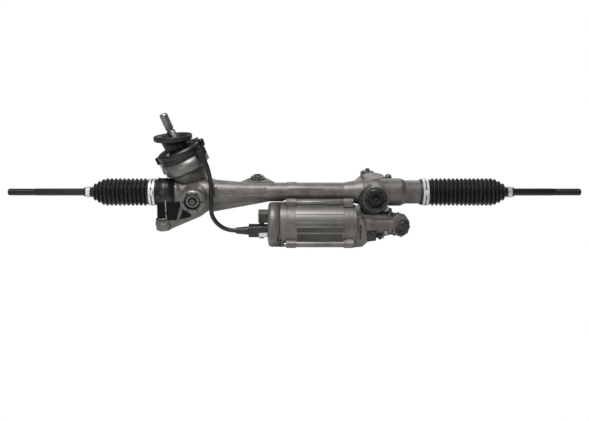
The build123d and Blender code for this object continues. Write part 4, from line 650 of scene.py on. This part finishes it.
# A darker copy of the cast aluminium for the flat under the ribs: painted shade where it faces down.
painted_shade = finish("painted_shade_casting", (0.038, 0.036, 0.033), (0.075, 0.071, 0.065), 0.5, metal=0.5, fine=900,
                slow=26, pits=0.35, depth=0.00025, wear_and_highlight=(0.3, 0.29, 0.27))
solid("motor_flat", band(5, 99, -16, 16), 40, 46.8, "cast_aluminium",
      v=-np.cross((1, 0, 0), outward(-5.5)), origin=MOTOR, soft=0.6, look=painted_shade)
bar = MOTOR + BAR_CIRCLE * outward(83)
spun("tie_bar", [(CORE, -18), (4.6, -18), (5.6, -17), (5.6, 118), (4.6, 119), (CORE, 119)],
     "machined_aluminium", origin=bar, around=40)
for number, (a, b) in enumerate(((-16, 4), (101, 118))):
    solid(f"bar_block_{number}", [(a, -8), (a, 4), (b, 4), (b, -8)], -7.5, 7.5, "cast_aluminium",
          origin=bar, soft=1.4)
solid("cap_boss", [(-34, -24), (-34, -18), (-27, -18), (-27, -24)], 43, 48.6, "dark_plug", origin=MOTOR,
      soft=1)
solid("cap_boss_rib", [(-31.3, -18), (-31.3, -2), (-29.9, -2), (-29.9, -18)], 42, 48, "cast_aluminium",
      origin=MOTOR, soft=0.5)

solid("gearbox_lower_case", [(124, -36), (124, -100), (142, -96), (176, -88), (214, -78), (232, -66),
                             (234, -50), (226, -40), (196, -34)], 22, 41, "cast_aluminium", soft=3)
for number, (foot, tip) in enumerate((((134, -74), (138, -95)), ((158, -80), (156, -93)),
                                      ((182, -78), (186, -87)), ((200, -76), (210, -81)),
                                      ((206, -44), (216, -33)), ((192, -40), (200, -24)))):
    solid(f"gearbox_rib_{number}", rib(foot, tip, 1.4), 30, 46, "cast_aluminium", soft=0.8)
solid("gearbox_box", [(150, -92), (150, -72), (170, -68), (170, -89)], 40, 53, "dark_plug", soft=1.5)
for number, (x, z) in enumerate(((147, -70), (178, -83), (190, -72), (206, -66))):
    slot, sides = ("dark_plug", 6) if number % 2 else ("steel", 32)
    spun(f"gearbox_bolt_{number}", [(CORE, 52), (3.6, 52), (4.2, 51), (4.2, 47), (5.6, 47), (5.6, 40),
                                    (CORE, 40)], slot, origin=(x, 0, z), around=sides, **FORWARD)
solid("plug_bracket", [(203, -74), (203, -38), (214, -30), (228, -34), (238, -48), (236, -72),
                       (222, -82)], 40, 52, "cast_aluminium", soft=2)
solid("flange_plate", [(121, -33), (121, -103), (141, -101), (152, -90), (149, -66), (143, -42),
                       (137, -33)], 30, 57, "cast_aluminium", soft=1.5)
# A dark strip painted as the shade inside the flange's slot.
solid("flange_slot_shade", [(134.5, -84), (133.5, -52), (137.5, -52), (138.5, -84)], 55, 57.5, "rubber",
      soft=0.3)
solid("flange_clip", [(134, -46), (132, -50), (143, -49), (143, -43), (137, -37), (132, -40)], 55, 61,
      "machined_aluminium", soft=0.9)
spun("end_knob", [(CORE, 59), (9.5, 59), (12.3, 57.8), (13.4, 55.5), (13.4, 50), (CORE, 50)],
     "dark_plug", origin=(225, 0, -56), around=8, **FORWARD)
# A black ring painted as the shadow round the right plug's lower side.
spun("assist_recess_shadow", band(20, 31, 34, 40), "rubber", origin=(163, 0, -5), around=64, **FORWARD)

# ---- Label place and the power connector -------------------------------------------------------------
# A blank plated tag is stuck on the controller, and its moulded grey power connector has five ribs
# on its front.
solid("bare_label", [(-73.5, -78.5), (-73.5, -69.5), (-56, -69.5), (-56, -78.5)], 55, 57.4, "zinc",
      soft=0.4)
for number, z in enumerate((-52.5, -48, -43.5, -39, -34.5)):
    solid(f"connector_rib_{number}", [(-75.4, z - 0.8), (-75.4, z + 0.8), (-56, z + 0.8), (-56, z - 0.8)],
          38, 41.8, "grey_plastic", soft=0.3)
